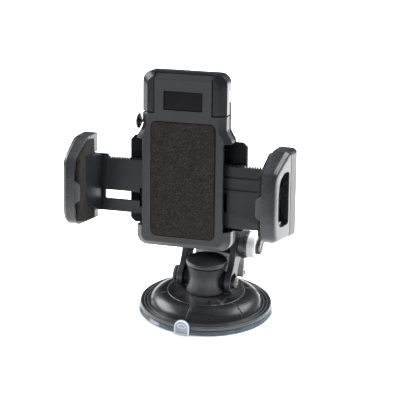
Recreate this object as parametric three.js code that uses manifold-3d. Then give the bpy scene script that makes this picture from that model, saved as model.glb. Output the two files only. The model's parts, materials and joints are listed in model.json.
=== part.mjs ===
// Car phone mount: a suction base with a turret, a leaning fork, a tilting head, and a
// holder whose two toothed arms carry padded jaws that close together on a phone.
// Millimetres, +Z up, origin at the middle of the suction pad's flat underside, with
// the holder facing -Y.
import * as THREE from 'three';
import { mergeVertices } from 'three/addons/utils/BufferGeometryUtils.js';
import Module from 'manifold-3d';

const wasm = await Module();
wasm.setup();

// ---------- driving dimensions ----------
const GAP = 0.3;            // between pieces that touch
const PAST = 1;             // how far a cutting tool runs past the face it opens

// suction base
const PAD_R = 40;
const PAD_TOP = 2.2;
const FLANGE_R = 39;
const FLANGE_Z = 4.8;
const DOME_R = 33.2;
const PLATFORM_R = 22.7;
const PLATFORM_Z = 11.3;
const ROOF_UNDER = 9.3;     // underside of the platform
const TAB_HALF = 4.5;       // clear pull tab
const TAB_TOP = 9.2;
const LIFTER_R = 27.5;
const LIFTER_TOP = 3.9;
const LEVER_Y = 24.8;       // lever pin
const LEVER_Z = 14.6;
const LEVER_HALF = 15.6;
const LEVER_TIP = 29;
const TOWER_HALF = 2.8;

// turret
const TURRET_YAW = THREE.MathUtils.degToRad(0.5);
const EAR_HALF = 12.7;      // bosses round the lower bolt
const POST_FOOT = 11.6;
const POST_R = 11.9;
const POST_TOP = 28.3;
const CAP_R = 12.2;
const SPIGOT_R = 7.7;

// fork, with its pivots on the turret and on the head
const LOW_PIVOT_Z = 19;
const FORK_LEAN = THREE.MathUtils.degToRad(33);
const FORK_LENGTH = 23.5;
const FORK_IN = 13;
const FORK_OUT = 16.6;
const BOLT_R = 2.4;
const PIVOT_CLEAR = 0.15;
const KNOB_X = -19.8;       // outer face of the lower knob
const BARREL_END = 28;      // upper bolt's hollow end
const SCREW_BORE = 20;      // where the hollow in it starts

// head, measured from the upper pivot in the holder's leaning frame
const HOLDER_LEAN = THREE.MathUtils.degToRad(7.05);
const HOLDER_SWIVEL = THREE.MathUtils.degToRad(-3);
const HEAD_REACH = 62.92;   // pivot to the holder's front face
const HEAD_RISE = 33.91;    // pivot to the swivel's axis
const HUB_R = 6.8;
const SWIVEL_R = 13;

// holder body: x to the right, y back from the front face, z up from the swivel axis
const WALL = 2.2;
const BODY_LOW_HALF = 27.5;
const BODY_HIGH_HALF = 24.3;
const BODY_BOTTOM = -23.8;
const BODY_TOP = 73.2;
const FLARE_LOW = 36.8;     // where the wide lower body starts to narrow
const FLARE_HIGH = 44.5;
const BEVEL_SIDE = 3.7;
const BEVEL_END = 2.8;
const BEVEL_DEPTH = 2.8;
const FRONT_DEPTH = 8;
const BODY_DEPTH = 12.5;
const BACK_TOP = 58.3;
const TONGUE_HALF = 16.5;
const TONGUE_BOTTOM = 51.3;
const TONGUE_PLATE = 3.2;
const SLIDER_TOP = 74.4;
const SLIDER_DEEP_Z = 64.7;
const SLIDER_DEPTH = 11.3;
const CAVITY_TOP = 48.6;
const ARM_WINDOW = [-12.5, 36.5];
const WINDOW_X = 23.5;      // the shells' sides are open outside this for the arms
const WING_HALF = 34;
const BUTTON_X = -27.2;     // outer face of the release button
const BUTTON_AT = [3.9, 45.8];
const FOAM_HALF = 18.4;
const FOAM_X = 0.3;
const FOAM_BOTTOM = -17.1;
const FOAM_TOP = 46.7;
const SCREW_X = 20.5;
const SCREW_ZS = [-18, 32.5];

// toothed arms and their pinion
const PINION_Z = 2.9;
const PINION_TEETH = 10;
const PINION_PITCH_R = 4;
const RACK_PITCH = (2 * Math.PI * PINION_PITCH_R) / PINION_TEETH;
const LEFT_LAYER = [3.2, 5.3];
const RIGHT_LAYER = [5.7, 7.9];
const ARM_TOP = 23.4;
const ARM_END_TOP = 25.8;   // the arm stands higher next to the jaw
const ARM_END_X = 44.8;
const RIGHT_WAY_END = 24;   // outer end of the right rack's way
const TOOTH = 1;
const TOOTH_PITCH = 1.5;
const ARM_JOINT_X = 48;     // where an arm meets its root block
const ROOT_X = 58;

// jaws
const RIM_X = 52.9;
const PAD_FACE_X = 50.7;
const JAW_MIDDLE_X = 58.3;
const JAW_OUTER_X = 62.3;
const JAW_SEAM = -3.8;
const JAW_BACK = 7.5;
const JAW_SHRINK = 3.2;     // how much smaller the outer face is
const PAD_BACK = -2.5;
const LIP = [2.5, 16];      // lower and upper end of the rim's lip
const JAW_SCREW_X = -58;
const JAW_SCREW_ZS = [29.3, -9.2];

// ---------- materials ----------
function material(color, roughness, metalness = 0) {
  return new THREE.MeshStandardMaterial({ color, roughness, metalness });
}
const satinBlack = material(0x2b2c2f, 0.5);
const deepBlack = material(0x16171a, 0.55);
const greyPlastic = material(0xb8b9bb, 0.45);
const whitePlastic = material(0xdedfe0, 0.4);
const foam = material(0x38352f, 0.95);
const steel = material(0xbfc2c6, 0.3, 1);
const clear = material(0xdfe8f0, 0.1);

// ---------- geometry helpers ----------
function solid(geometry) {
  const bare = new THREE.BufferGeometry();
  bare.setAttribute('position', geometry.getAttribute('position'));
  if (geometry.index) bare.setIndex(geometry.index);
  const merged = mergeVertices(bare, 1e-4);
  const source = merged.index.array;
  const kept = [];
  for (let i = 0; i < source.length; i += 3) {
    const [a, b, c] = [source[i], source[i + 1], source[i + 2]];
    if (a !== b && b !== c && c !== a) kept.push(a, b, c);
  }
  return new wasm.Manifold(new wasm.Mesh({
    numProp: 3,
    vertProperties: new Float32Array(merged.attributes.position.array),
    triVerts: new Uint32Array(kept),
  }));
}

function join(first, ...others) {
  return others.reduce((sum, other) => sum.add(other), first);
}

function cut(body, ...tools) {
  return tools.reduce((rest, tool) => rest.subtract(tool), body);
}

function place(parent, name, shape, look) {
  const mesh = shape.getMesh();
  const geometry = new THREE.BufferGeometry();
  geometry.setAttribute('position', new THREE.BufferAttribute(mesh.vertProperties, 3));
  geometry.setIndex(new THREE.BufferAttribute(mesh.triVerts, 1));
  geometry.computeVertexNormals();
  const node = new THREE.Mesh(geometry, look);
  node.name = name;
  parent.add(node);
  return node;
}

function block(x0, x1, y0, y1, z0, z1) {
  const box = new THREE.BoxGeometry(x1 - x0, y1 - y0, z1 - z0);
  return solid(box.translate((x0 + x1) / 2, (y0 + y1) / 2, (z0 + z1) / 2));
}

function rod(axis, radius, from, to, [u, v] = [0, 0], sides = 16) {
  const bar = new THREE.CylinderGeometry(radius, radius, to - from, sides);
  const middle = (from + to) / 2;
  if (axis === 'x') return solid(bar.rotateZ(-Math.PI / 2).translate(middle, u, v));
  if (axis === 'y') return solid(bar.translate(u, middle, v));
  return solid(bar.rotateX(Math.PI / 2).translate(u, v, middle));
}

function lathe(profile, sides = 40) {
  const points = profile.map(([r, z]) => new THREE.Vector2(r, z));
  return solid(new THREE.LatheGeometry(points, sides).rotateX(Math.PI / 2));
}

function extrude(points, depth, holes = []) {
  const shape = new THREE.Shape(points.map(([u, v]) => new THREE.Vector2(u, v)));
  for (const hole of holes) {
    shape.holes.push(new THREE.Path(hole.map(([u, v]) => new THREE.Vector2(u, v))));
  }
  return new THREE.ExtrudeGeometry(shape, { depth, bevelEnabled: false, steps: 1 });
}

function turned(geometry, u, v, w, shift) {
  const axes = new THREE.Matrix4().makeBasis(u, v, w).setPosition(shift);
  return solid(geometry.applyMatrix4(axes));
}

const X = new THREE.Vector3(1, 0, 0);
const Y = new THREE.Vector3(0, 1, 0);
const Z = new THREE.Vector3(0, 0, 1);

function prismX(pointsYZ, x0, x1, holes) {
  return turned(extrude(pointsYZ, x1 - x0, holes), Y, Z, X, new THREE.Vector3(x0, 0, 0));
}

function prismY(pointsXZ, y0, y1, holes) {
  const back = Y.clone().negate();
  return turned(extrude(pointsXZ, y1 - y0, holes), X, Z, back, new THREE.Vector3(0, y1, 0));
}

function arc([cx, cy], radius, from, to, steps) {
  const points = [];
  for (let i = 0; i <= steps; i += 1) {
    const angle = THREE.MathUtils.degToRad(from + ((to - from) * i) / steps);
    points.push([cx + radius * Math.cos(angle), cy + radius * Math.sin(angle)]);
  }
  return points;
}

function roundedRect(u0, u1, v0, v1, radius, steps = 4) {
  return [
    ...arc([u1 - radius, v0 + radius], radius, -90, 0, steps),
    ...arc([u1 - radius, v1 - radius], radius, 0, 90, steps),
    ...arc([u0 + radius, v1 - radius], radius, 90, 180, steps),
    ...arc([u0 + radius, v0 + radius], radius, 180, 270, steps),
  ];
}

function clipped(u0, u1, v0, v1, corner) {
  return [
    [u0 + corner, v0], [u1 - corner, v0], [u1, v0 + corner], [u1, v1 - corner],
    [u1 - corner, v1], [u0 + corner, v1], [u0, v1 - corner], [u0, v0 + corner],
  ];
}

// A solid through outlines of the same number of points, one at each place along an axis.
function loft(sections, toXYZ) {
  const count = sections[0].outline.length;
  const positions = sections.flatMap(({ at, outline }) => outline.flatMap((p) => toXYZ(p, at)));
  const faces = [];
  for (let s = 0; s + 1 < sections.length; s += 1) {
    for (let i = 0; i < count; i += 1) {
      const j = (i + 1) % count;
      const [a, b] = [s * count + i, s * count + j];
      faces.push(a, b, b + count, a, b + count, a + count);
    }
  }
  const cap = (s, flip) => {
    const flat = sections[s].outline.map(([u, v]) => new THREE.Vector2(u, v));
    for (const [a, b, c] of THREE.ShapeUtils.triangulateShape(flat, [])) {
      const start = s * count;
      faces.push(start + a, start + (flip ? c : b), start + (flip ? b : c));
    }
  };
  cap(0, true);
  cap(sections.length - 1, false);
  const geometry = new THREE.BufferGeometry();
  geometry.setAttribute('position', new THREE.Float32BufferAttribute(positions, 3));
  geometry.setIndex(faces);
  return solid(geometry);
}

// Outlines counter-clockwise in (x, z), stacked towards -y.
function loftY(sections) {
  const ordered = [...sections].sort((a, b) => b.at - a.at);
  return loft(ordered, ([x, z], y) => [x, y, z]);
}

// Outlines counter-clockwise in (y, z), stacked towards +x.
function loftX(sections) {
  const ordered = [...sections].sort((a, b) => a.at - b.at);
  return loft(ordered, ([y, z], x) => [x, y, z]);
}

function coil(axis, radius, wire, from, to, turns, [u, v] = [0, 0]) {
  class Helix extends THREE.Curve {
    getPoint(t, target = new THREE.Vector3()) {
      const angle = 2 * Math.PI * turns * t;
      const along = from + (to - from) * t;
      const [c, s] = [radius * Math.cos(angle), radius * Math.sin(angle)];
      if (axis === 'x') return target.set(along, u + c, v + s);
      if (axis === 'y') return target.set(u + c, along, v + s);
      return target.set(u + c, v + s, along);
    }
  }
  const section = arc([0, 0], wire, 0, 300, 5).map(([a, b]) => new THREE.Vector2(a, b));
  const shape = new THREE.Shape(section);
  const steps = Math.round(turns * 12);
  return solid(new THREE.ExtrudeGeometry(shape, { extrudePath: new Helix(), steps }));
}

// ---------- suction base ----------
function suctionPad() {
  const disc = lathe([[0, 0], [PAD_R, 0], [PAD_R, 0.9], [FLANGE_R, PAD_TOP], [0, PAD_TOP]], 56);
  const outline = [[-TAB_HALF, 0], [TAB_HALF, 0],
    ...arc([0, TAB_TOP - TAB_HALF], TAB_HALF, 0, 180, 12)];
  const tab = prismY(outline, -PAD_R - 1.3, -PAD_R - 0.3);
  const root = block(-TAB_HALF, TAB_HALF, -PAD_R - 1.3, -PAD_R + 1.5, 0, 1.6);
  return join(disc, tab, root);
}

function baseHousing() {
  const shoulder = arc([0, 0], 1, 14, 90, 5).map(([c, s]) => [
    PLATFORM_R + (DOME_R - PLATFORM_R) * c,
    FLANGE_Z - 1 + (PLATFORM_Z - FLANGE_Z + 1) * s,
  ]);
  const shell = lathe([
    [31, 2.5], [FLANGE_R, 2.5], [FLANGE_R, FLANGE_Z], [DOME_R + 0.4, FLANGE_Z], ...shoulder,
    [SPIGOT_R + GAP, PLATFORM_Z], [SPIGOT_R + GAP, ROOF_UNDER], [22, ROOF_UNDER], [30.4, 4.6], [31, 2.5],
  ], 56);
  const slot = block(-TOWER_HALF - GAP, TOWER_HALF + GAP, LEVER_Y - 2.8, LEVER_Y + 2.8, 2, 15);
  return cut(shell, slot);
}

function lifterPlate() {
  const plate = lathe([[0, 2.5], [LIFTER_R, 2.5], [LIFTER_R, LIFTER_TOP], [0, LIFTER_TOP]]);
  const tower = block(-TOWER_HALF, TOWER_HALF, LEVER_Y - 2.4, LEVER_Y + 2.4, 3, LEVER_Z);
  const eye = rod('x', 2.4, -TOWER_HALF, TOWER_HALF, [LEVER_Y, LEVER_Z]);
  const bore = rod('x', 1.35, -TOWER_HALF - PAST, TOWER_HALF + PAST, [LEVER_Y, LEVER_Z]);
  return cut(join(plate, tower, eye), bore);
}

function suctionLever() {
  const profile = [
    ...arc([LEVER_Y, LEVER_Z], 2.7, 180, 360, 10),
    [LEVER_Y + 1.6, LEVER_Z + 5], [LEVER_Y + 1.6, LEVER_TIP - 3], [LEVER_Y + 2.8, LEVER_TIP],
    [LEVER_Y + 0.6, LEVER_TIP], [LEVER_Y - 1.5, LEVER_TIP - 4], [LEVER_Y - 1.5, LEVER_Z + 5],
  ];
  const plate = prismX(profile, -LEVER_HALF, LEVER_HALF);
  const clearTower = TOWER_HALF + GAP;
  const slot = block(-clearTower, clearTower, LEVER_Y - 5, LEVER_Y + 5, 5, LEVER_Z + 3.4);
  const bore = rod('x', 1.5, -LEVER_HALF - PAST, LEVER_HALF + PAST, [LEVER_Y, LEVER_Z]);
  return cut(plate, slot, bore);
}

function addBase(group) {
  place(group, 'suction_pad', suctionPad(), clear);
  place(group, 'base_housing', baseHousing(), satinBlack);
  place(group, 'lifter_plate', lifterPlate(), deepBlack);
  place(group, 'lifter_spring', coil('z', 14, 0.7, 5, 8.3, 1.8), steel);
  place(group, 'suction_lever', suctionLever(), greyPlastic);
  const pinHalf = LEVER_HALF - 1;
  place(group, 'lever_pin', rod('x', 1.2, -pinHalf, pinHalf, [LEVER_Y, LEVER_Z]), steel);
}

// ---------- turret ----------
function turretPost() {
  const waist = [];
  for (let i = 0; i <= 6; i += 1) {
    const t = i / 6;
    const height = POST_FOOT + 1.6 + (POST_TOP - POST_FOOT - 1.6) * t;
    waist.push([POST_R - 1.15 * Math.sin(Math.PI * t), height]);
  }
  const body = lathe([
    [0, 8.9], [SPIGOT_R, 8.9], [SPIGOT_R, POST_FOOT], [POST_R - 1, POST_FOOT], ...waist,
    [9.5, POST_TOP], [9.5, POST_TOP - 3.6], [0, POST_TOP - 3.6],
  ], 36);
  const ears = rod('x', 5.5, -EAR_HALF, EAR_HALF, [0, LOW_PIVOT_Z], 28);
  const bolt = rod('x', BOLT_R + PIVOT_CLEAR, -EAR_HALF - PAST, EAR_HALF + PAST, [0, LOW_PIVOT_Z]);
  const screw = rod('z', 2.1, 8, 16.2);
  return cut(join(body, ears), bolt, screw);
}

function postCap() {
  return lathe([
    [0, POST_TOP - 3.3], [9.2, POST_TOP - 3.3], [9.2, POST_TOP + GAP], [CAP_R - 0.5, POST_TOP + GAP],
    [CAP_R, POST_TOP + 0.8], [CAP_R, POST_TOP + 2.1], [CAP_R - 0.7, POST_TOP + 2.8],
    [6, POST_TOP + 3.2], [0, POST_TOP + 3.3],
  ], 36);
}

function addTurret(group) {
  place(group, 'turret_post', turretPost(), satinBlack);
  place(group, 'post_cap', postCap(), deepBlack);
  const ring = lathe([[2.2, 7.4], [10.6, 7.4], [10.6, 8.6], [2.2, 8.6], [2.2, 7.4]], 32);
  place(group, 'turret_retainer', ring, steel);
  const screw = join(rod('z', 4, 5.6, 7.1), rod('z', 1.8, 6.5, 15.6));
  place(group, 'turret_screw', screw, steel);
}

// ---------- fork ----------
function fork() {
  const arms = [-1, 1].map((side) => {
    const [x0, x1] = side < 0 ? [-FORK_OUT, -FORK_IN] : [FORK_IN, FORK_OUT];
    const sideView = [[-6.4, 0], [6.4, 0], [5.4, 8], [7, FORK_LENGTH], [-7, FORK_LENGTH], [-5, 8]];
    const bar = prismX(sideView, x0, x1);
    const lowLobe = rod('x', 6.8, x0, x1, [0, 0], 28);
    const highLobe = rod('x', 8, x0, x1, [0, FORK_LENGTH], 28);
    const tab = prismX([[4, 16.5], [8.6, 19], [8.6, 24], [4, 28]], x0, x1);
    const arm = join(bar, lowLobe, highLobe, tab);
    return cut(
      arm,
      rod('x', BOLT_R + PIVOT_CLEAR, x0 - PAST, x1 + PAST),
      rod('x', BOLT_R + PIVOT_CLEAR, x0 - PAST, x1 + PAST, [0, FORK_LENGTH]),
    );
  });
  const web = block(-FORK_IN - 0.5, FORK_IN + 0.5, 8, 11, 18, 22.5);
  const nutPocket = rod('x', 5, 15.2, FORK_OUT + PAST, [0, 0], 28);
  const upperPocket = rod('x', 5, -FORK_OUT - PAST, -FORK_OUT + 1.6, [0, FORK_LENGTH], 6);
  return cut(join(arms[0], arms[1], web), nutPocket, upperPocket);
}

function lowerKnob() {
  const flutes = [];
  for (let i = 0; i < 10; i += 1) {
    const angle = (i * Math.PI) / 5;
    const at = [5.5 * Math.cos(angle), 5.5 * Math.sin(angle)];
    flutes.push(rod('x', 0.9, KNOB_X - PAST, -17.6, at, 8));
  }
  const body = join(rod('x', 5, KNOB_X, -17.4, [0, 0], 24), rod('x', 4.2, -17.6, -17.1));
  return cut(body, rod('x', BOLT_R + GAP, -18.9, -16), ...flutes);
}

function nut(radius, x0, x1, at, sides) {
  return cut(rod('x', radius, x0, x1, at, sides), rod('x', BOLT_R + GAP, x0 - PAST, x1 + PAST, at));
}

function lowerBolt() {
  return cut(rod('x', BOLT_R, -18.6, 18.9), rod('x', 0.8, 17.4, 20, [0, 0], 12));
}

function upperBolt(at) {
  const barrel = rod('x', BOLT_R, -18.6, BARREL_END, at, 24);
  return cut(barrel, rod('x', 1.5, SCREW_BORE, BARREL_END + PAST, at));
}

function addFork(group) {
  const top = [0, FORK_LENGTH];
  place(group, 'fork', fork(), satinBlack);
  place(group, 'lower_bolt', lowerBolt(), steel);
  place(group, 'lower_knob', lowerKnob(), deepBlack);
  place(group, 'lower_nut', nut(3.8, 15.5, 18.6, [0, 0], 24), steel);
  place(group, 'upper_nut', nut(4.6, -FORK_OUT - 1.3, -FORK_OUT + 1.3, top, 6), steel);
  place(group, 'upper_bolt', upperBolt(top), steel);
}

// ---------- tilt clamp on the upper pivot ----------
function clampScrew() {
  const slot = block(29.2, 31, -6, 6, -0.5, 0.5).rotate([40, 0, 0]);
  const head = cut(rod('x', 4.9, 28.4, 29.7, [0, 0], 28), slot);
  return join(head, rod('x', 1.2, SCREW_BORE + PAST, 28.8));
}

function sleeveLike(radius, x0, x1) {
  return cut(rod('x', radius, x0, x1, [0, 0], 32), rod('x', BOLT_R + GAP, x0 - PAST, x1 + PAST));
}

function addClamp(group) {
  place(group, 'clamp_screw', clampScrew(), steel);
  place(group, 'clamp_collar', sleeveLike(8.3, FORK_OUT + GAP, 21.8), deepBlack);
  place(group, 'clamp_sleeve', sleeveLike(7.7, 22.1, 27.2), whitePlastic);
  place(group, 'clamp_ring', sleeveLike(5.3, 27.5, 28.1), deepBlack);
}

// ---------- head, in the holder's leaning frame with the upper pivot at the origin ----------
function tiltHead() {
  const face = -HEAD_REACH;
  const disc = rod('y', SWIVEL_R, face + 18, face + 23, [0, HEAD_RISE], 32);
  const neck = prismX([
    [-5.4, -3.9], [4.2, 5.2], [-28, HEAD_RISE + 7],
    [face + 22.5, HEAD_RISE + 10], [face + 22.5, HEAD_RISE - 10], [-30, 19],
  ], -6.5, 6.5);
  const hub = rod('x', HUB_R, -FORK_IN + GAP, FORK_IN - GAP, [0, 0], 32);
  const bolt = rod('x', BOLT_R + PIVOT_CLEAR, -FORK_IN - PAST, FORK_IN + PAST);
  const screw = rod('y', 2.3, face + 17, face + 23.3, [0, HEAD_RISE]);
  return cut(join(hub, neck, disc), bolt, screw);
}

// ---------- swivel plate ----------
function clawPlate() {
  const plate = prismY(roundedRect(-15, 15, -17, 17, 3), 12.8, 16.8);
  const claws = [];
  for (const x of [-9, 9]) {
    for (const z of [-10, 10]) claws.push(block(x - 1.8, x + 1.8, 10.9, 13, z - 1.6, z + 1.6));
  }
  return cut(join(plate, ...claws), rod('y', 2.3, 12, 18), rod('y', 4.3, 12, 15.1));
}

function addSwivel(group) {
  place(group, 'claw_plate', clawPlate(), deepBlack);
  const screw = join(rod('y', 4, 13, 14.8), rod('y', 2, 14, 22.4));
  place(group, 'swivel_screw', screw, steel);
  place(group, 'swivel_washer', cut(rod('y', 6, 17.1, 17.7, [0, 0], 32), rod('y', 2.3, 16, 19)), steel);
}

// ---------- holder body ----------
// The outline narrows from the wide lower body to the upper body in a smooth S.
function bodyOutline(side = 0, end = 0, top = BODY_TOP) {
  const corner = 6 - Math.min(side, 2.5);
  const low = BODY_LOW_HALF - side;
  const high = BODY_HIGH_HALF - side;
  const right = arc([low - corner, BODY_BOTTOM + end + corner], corner, -90, 0, 5);
  for (let i = 0; i <= 8; i += 1) {
    const t = i / 8;
    const ease = t * t * (3 - 2 * t);
    right.push([low + (high - low) * ease, FLARE_LOW + (FLARE_HIGH - FLARE_LOW) * t]);
  }
  right.push(...arc([high - corner, top - end - corner], corner, 0, 90, 5));
  const left = right.map(([x, z]) => [-x, z]).reverse();
  return [...right, ...left];
}

function foamOutline(margin) {
  const [left, right] = [FOAM_X - FOAM_HALF - margin, FOAM_X + FOAM_HALF + margin];
  return roundedRect(left, right, FOAM_BOTTOM - margin, FOAM_TOP + margin, 3.2 + margin);
}

function frontShell() {
  const outer = loftY([
    { at: 0, outline: bodyOutline(BEVEL_SIDE, BEVEL_END) },
    { at: BEVEL_DEPTH, outline: bodyOutline() },
    { at: FRONT_DEPTH, outline: bodyOutline() },
  ]);
  const cavity = prismY(bodyOutline(WALL, WALL, CAVITY_TOP + WALL), WALL, FRONT_DEPTH + PAST);
  const tongueHollow = block(-14.7, 14.7, WALL, FRONT_DEPTH + PAST, 40, 62.5);
  const bosses = [];
  const pilots = [];
  for (const x of [-SCREW_X, SCREW_X]) {
    for (const z of SCREW_ZS) {
      bosses.push(rod('y', 3, 1, FRONT_DEPTH, [x, z], 12));
      pilots.push(rod('y', 1.4, 3.6, FRONT_DEPTH + PAST, [x, z], 10));
    }
  }
  const tools = [
    block(-BODY_LOW_HALF - PAST, -TONGUE_HALF, -PAST, FRONT_DEPTH + PAST, TONGUE_BOTTOM, 80),
    block(TONGUE_HALF, BODY_LOW_HALF + PAST, -PAST, FRONT_DEPTH + PAST, TONGUE_BOTTOM, 80),
    block(-TONGUE_HALF - PAST, TONGUE_HALF + PAST, TONGUE_PLATE, FRONT_DEPTH + PAST, SLIDER_DEEP_Z, 80),
    block(-BODY_LOW_HALF - PAST, -WINDOW_X, -PAST, FRONT_DEPTH + PAST, ...ARM_WINDOW),
    block(WINDOW_X, BODY_LOW_HALF + PAST, -PAST, FRONT_DEPTH + PAST, ...ARM_WINDOW),
    block(-11.1, 11.1, -PAST, 1.5, 53.5, 63.9),
    prismY(foamOutline(GAP), -PAST, 0.9),
    rod('x', 1.6, -26, -20, BUTTON_AT),
  ];
  for (const side of [-1, 1]) {
    const [a, b] = side < 0 ? [-22.3, -17.2] : [17.2, 22.3];
    tools.push(block(a, b, 5.3, FRONT_DEPTH + PAST, 38, TONGUE_BOTTOM + PAST));
  }
  return cut(join(cut(outer, cavity, tongueHollow), ...bosses), ...tools, ...pilots);
}

function backShell() {
  const front = FRONT_DEPTH + GAP;
  const outer = loftY([
    { at: front, outline: bodyOutline() },
    { at: BODY_DEPTH - 1.2, outline: bodyOutline() },
    { at: BODY_DEPTH, outline: bodyOutline(1.2, 1.2) },
  ]);
  const wings = prismY(clipped(-WING_HALF, WING_HALF, -13.3, 36.5, 2.5), 9.6, BODY_DEPTH - 0.1);
  const pocket = prismY(bodyOutline(WALL, WALL, CAVITY_TOP + WALL), front - PAST, 10.3);
  const bosses = [];
  const tools = [block(-40, 40, 0, 20, BACK_TOP, 80)];
  for (const x of [-SCREW_X, SCREW_X]) {
    for (const z of SCREW_ZS) {
      bosses.push(rod('y', 3, front, 11, [x, z], 12));
      tools.push(rod('y', 1.4, 8, 13, [x, z], 10), rod('y', 2.6, 11, 13, [x, z], 12));
    }
  }
  for (const x of [-9, 9]) {
    for (const z of [-10, 10]) tools.push(block(x - 2.1, x + 2.1, 9, 14, z - 1.9, z + 1.9));
  }
  for (const side of [-1, 1]) {
    const [a, b] = side < 0 ? [-30, -WINDOW_X] : [WINDOW_X, 30];
    tools.push(block(a, b, 7, 9.6, ...ARM_WINDOW));
  }
  return cut(join(cut(join(outer, wings), pocket), ...bosses), ...tools);
}

function topSlider() {
  const outline = (half, bottom, top) => {
    const right = [[half, bottom], ...arc([half - 6, top - 6], 6, 0, 90, 6)];
    return [...right, ...right.map(([x, z]) => [-x, z]).reverse()];
  };
  const bottom = TONGUE_BOTTOM + 0.5;
  const outer = loftY([
    { at: 0.3, outline: outline(BODY_HIGH_HALF - BEVEL_SIDE, bottom, SLIDER_TOP - 2.5) },
    { at: 3.1, outline: outline(BODY_HIGH_HALF, bottom, SLIDER_TOP) },
    { at: SLIDER_DEPTH, outline: outline(BODY_HIGH_HALF, bottom, SLIDER_TOP) },
  ]);
  const inside = TONGUE_HALF + 0.4;
  const shape = cut(
    outer,
    block(-inside, inside, -PAST, TONGUE_PLATE + GAP, 40, 80),
    block(-inside, inside, -PAST, BODY_DEPTH + PAST, 40, SLIDER_DEEP_Z + GAP),
    block(-30, 30, FRONT_DEPTH, BODY_DEPTH + PAST, 40, SLIDER_DEEP_Z),
  );
  const rails = [-1, 1].map((side) => {
    const [a, b] = side < 0 ? [-21.6, -17.8] : [17.8, 21.6];
    return block(a, b, 5.7, 7.8, 38.5, bottom + 1);
  });
  return join(shape, ...rails);
}

function pinion() {
  const step = (2 * Math.PI) / PINION_TEETH;
  const outline = [];
  for (let i = 0; i < PINION_TEETH; i += 1) {
    const middle = Math.PI / 2 + i * step;
    for (const [radius, angle] of [[3, -0.34], [4.6, -0.13], [4.6, 0.13], [3, 0.34]]) {
      const at = middle + angle * step;
      outline.push([radius * Math.cos(at), PINION_Z + radius * Math.sin(at)]);
    }
  }
  const gear = prismY(outline, LEFT_LAYER[0], RIGHT_LAYER[1]);
  return cut(gear, rod('y', 1.45, 2, 9, [0, PINION_Z]));
}

function ratchetPawl() {
  const bell = prismY([
    [-11, 47.2], [-11, 36], [-16.4, 27.5], [-16.4, 24.9], [-15.8, 24.9], [-13.5, 28.5], [-8, 32],
    [-8, 36], [-9, 47.2],
  ], 3.5, 5.2);
  const eye = rod('y', 2.6, 3.5, 5.2, [-10, 34]);
  return cut(join(bell, eye), rod('y', 1.35, 3, 6, [-10, 34]));
}

function releaseButton() {
  const disc = rod('x', 4.3, BUTTON_X, BUTTON_X + 1, BUTTON_AT, 24);
  const neck = rod('x', 2.2, BUTTON_X + 0.8, BUTTON_X + 1.5, BUTTON_AT, 20);
  const stem = rod('x', 0.9, BUTTON_X + 1.2, -11.4, BUTTON_AT);
  const collar = rod('x', 1.5, -21.6, -21, BUTTON_AT);
  return join(disc, neck, stem, collar);
}

function addBody(group) {
  place(group, 'front_shell', frontShell(), satinBlack);
  place(group, 'back_shell', backShell(), deepBlack);
  place(group, 'foam_pad', prismY(foamOutline(0), -0.4, 0.6), foam);
  place(group, 'window_panel', block(-10.8, 10.8, 0.6, 1.2, 53.8, 63.6), deepBlack);
  place(group, 'top_slider', topSlider(), satinBlack);
  place(group, 'pinion', pinion(), whitePlastic);
  place(group, 'pinion_axle', rod('y', 1.3, 2.5, 10, [0, PINION_Z]), steel);
  place(group, 'pinion_spring', coil('y', 2.6, 0.4, 8.6, 9.7, 1.2, [0, PINION_Z]), steel);
  place(group, 'ratchet_pawl', ratchetPawl(), whitePlastic);
  place(group, 'pawl_pin', rod('y', 1.2, 2.5, 10, [-10, 34]), steel);
  place(group, 'release_button', releaseButton(), deepBlack);
  place(group, 'button_spring', coil('x', 1.3, 0.25, -19.9, -15.4, 3, BUTTON_AT), steel);
  let number = 1;
  for (const x of [-SCREW_X, SCREW_X]) {
    for (const z of SCREW_ZS) {
      const screw = join(rod('y', 2.3, 11.3, 12.3, [x, z], 12), rod('y', 1.1, 4, 11.8, [x, z], 8));
      place(group, `body_screw_${number}`, screw, steel);
      number += 1;
    }
  }
}

// ---------- toothed arms ----------
// Both arms are drawn as the left one; the right one is turned half round about the
// pinion's axis, so its rack runs along the lower side of the pinion.
function ratchetTeeth(from, to, base) {
  const points = [];
  const count = Math.floor((to - from) / TOOTH_PITCH);
  for (let i = 0; i < count; i += 1) {
    const x = from + i * TOOTH_PITCH;
    points.push([x, base], [x + 0.45, base + TOOTH], [x + 1.05, base + TOOTH]);
  }
  points.push([from + count * TOOTH_PITCH, base]);
  return points;
}

// Teeth along a slot's edge, pointing at the pinion, with a gap opposite x = 0.
function rackEdge(from, to, facing) {
  const points = [];
  const tip = PINION_Z + facing * 3.35;
  const rootLine = PINION_Z + facing * 5.1;
  const first = Math.ceil((from - RACK_PITCH / 2) / RACK_PITCH);
  const last = Math.floor((to - RACK_PITCH / 2) / RACK_PITCH);
  for (let i = first; i <= last; i += 1) {
    const middle = (i + 0.5) * RACK_PITCH;
    points.push([middle - 0.68, rootLine], [middle - 0.28, tip]);
    points.push([middle + 0.28, tip], [middle + 0.68, rootLine]);
  }
  return points;
}

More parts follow.
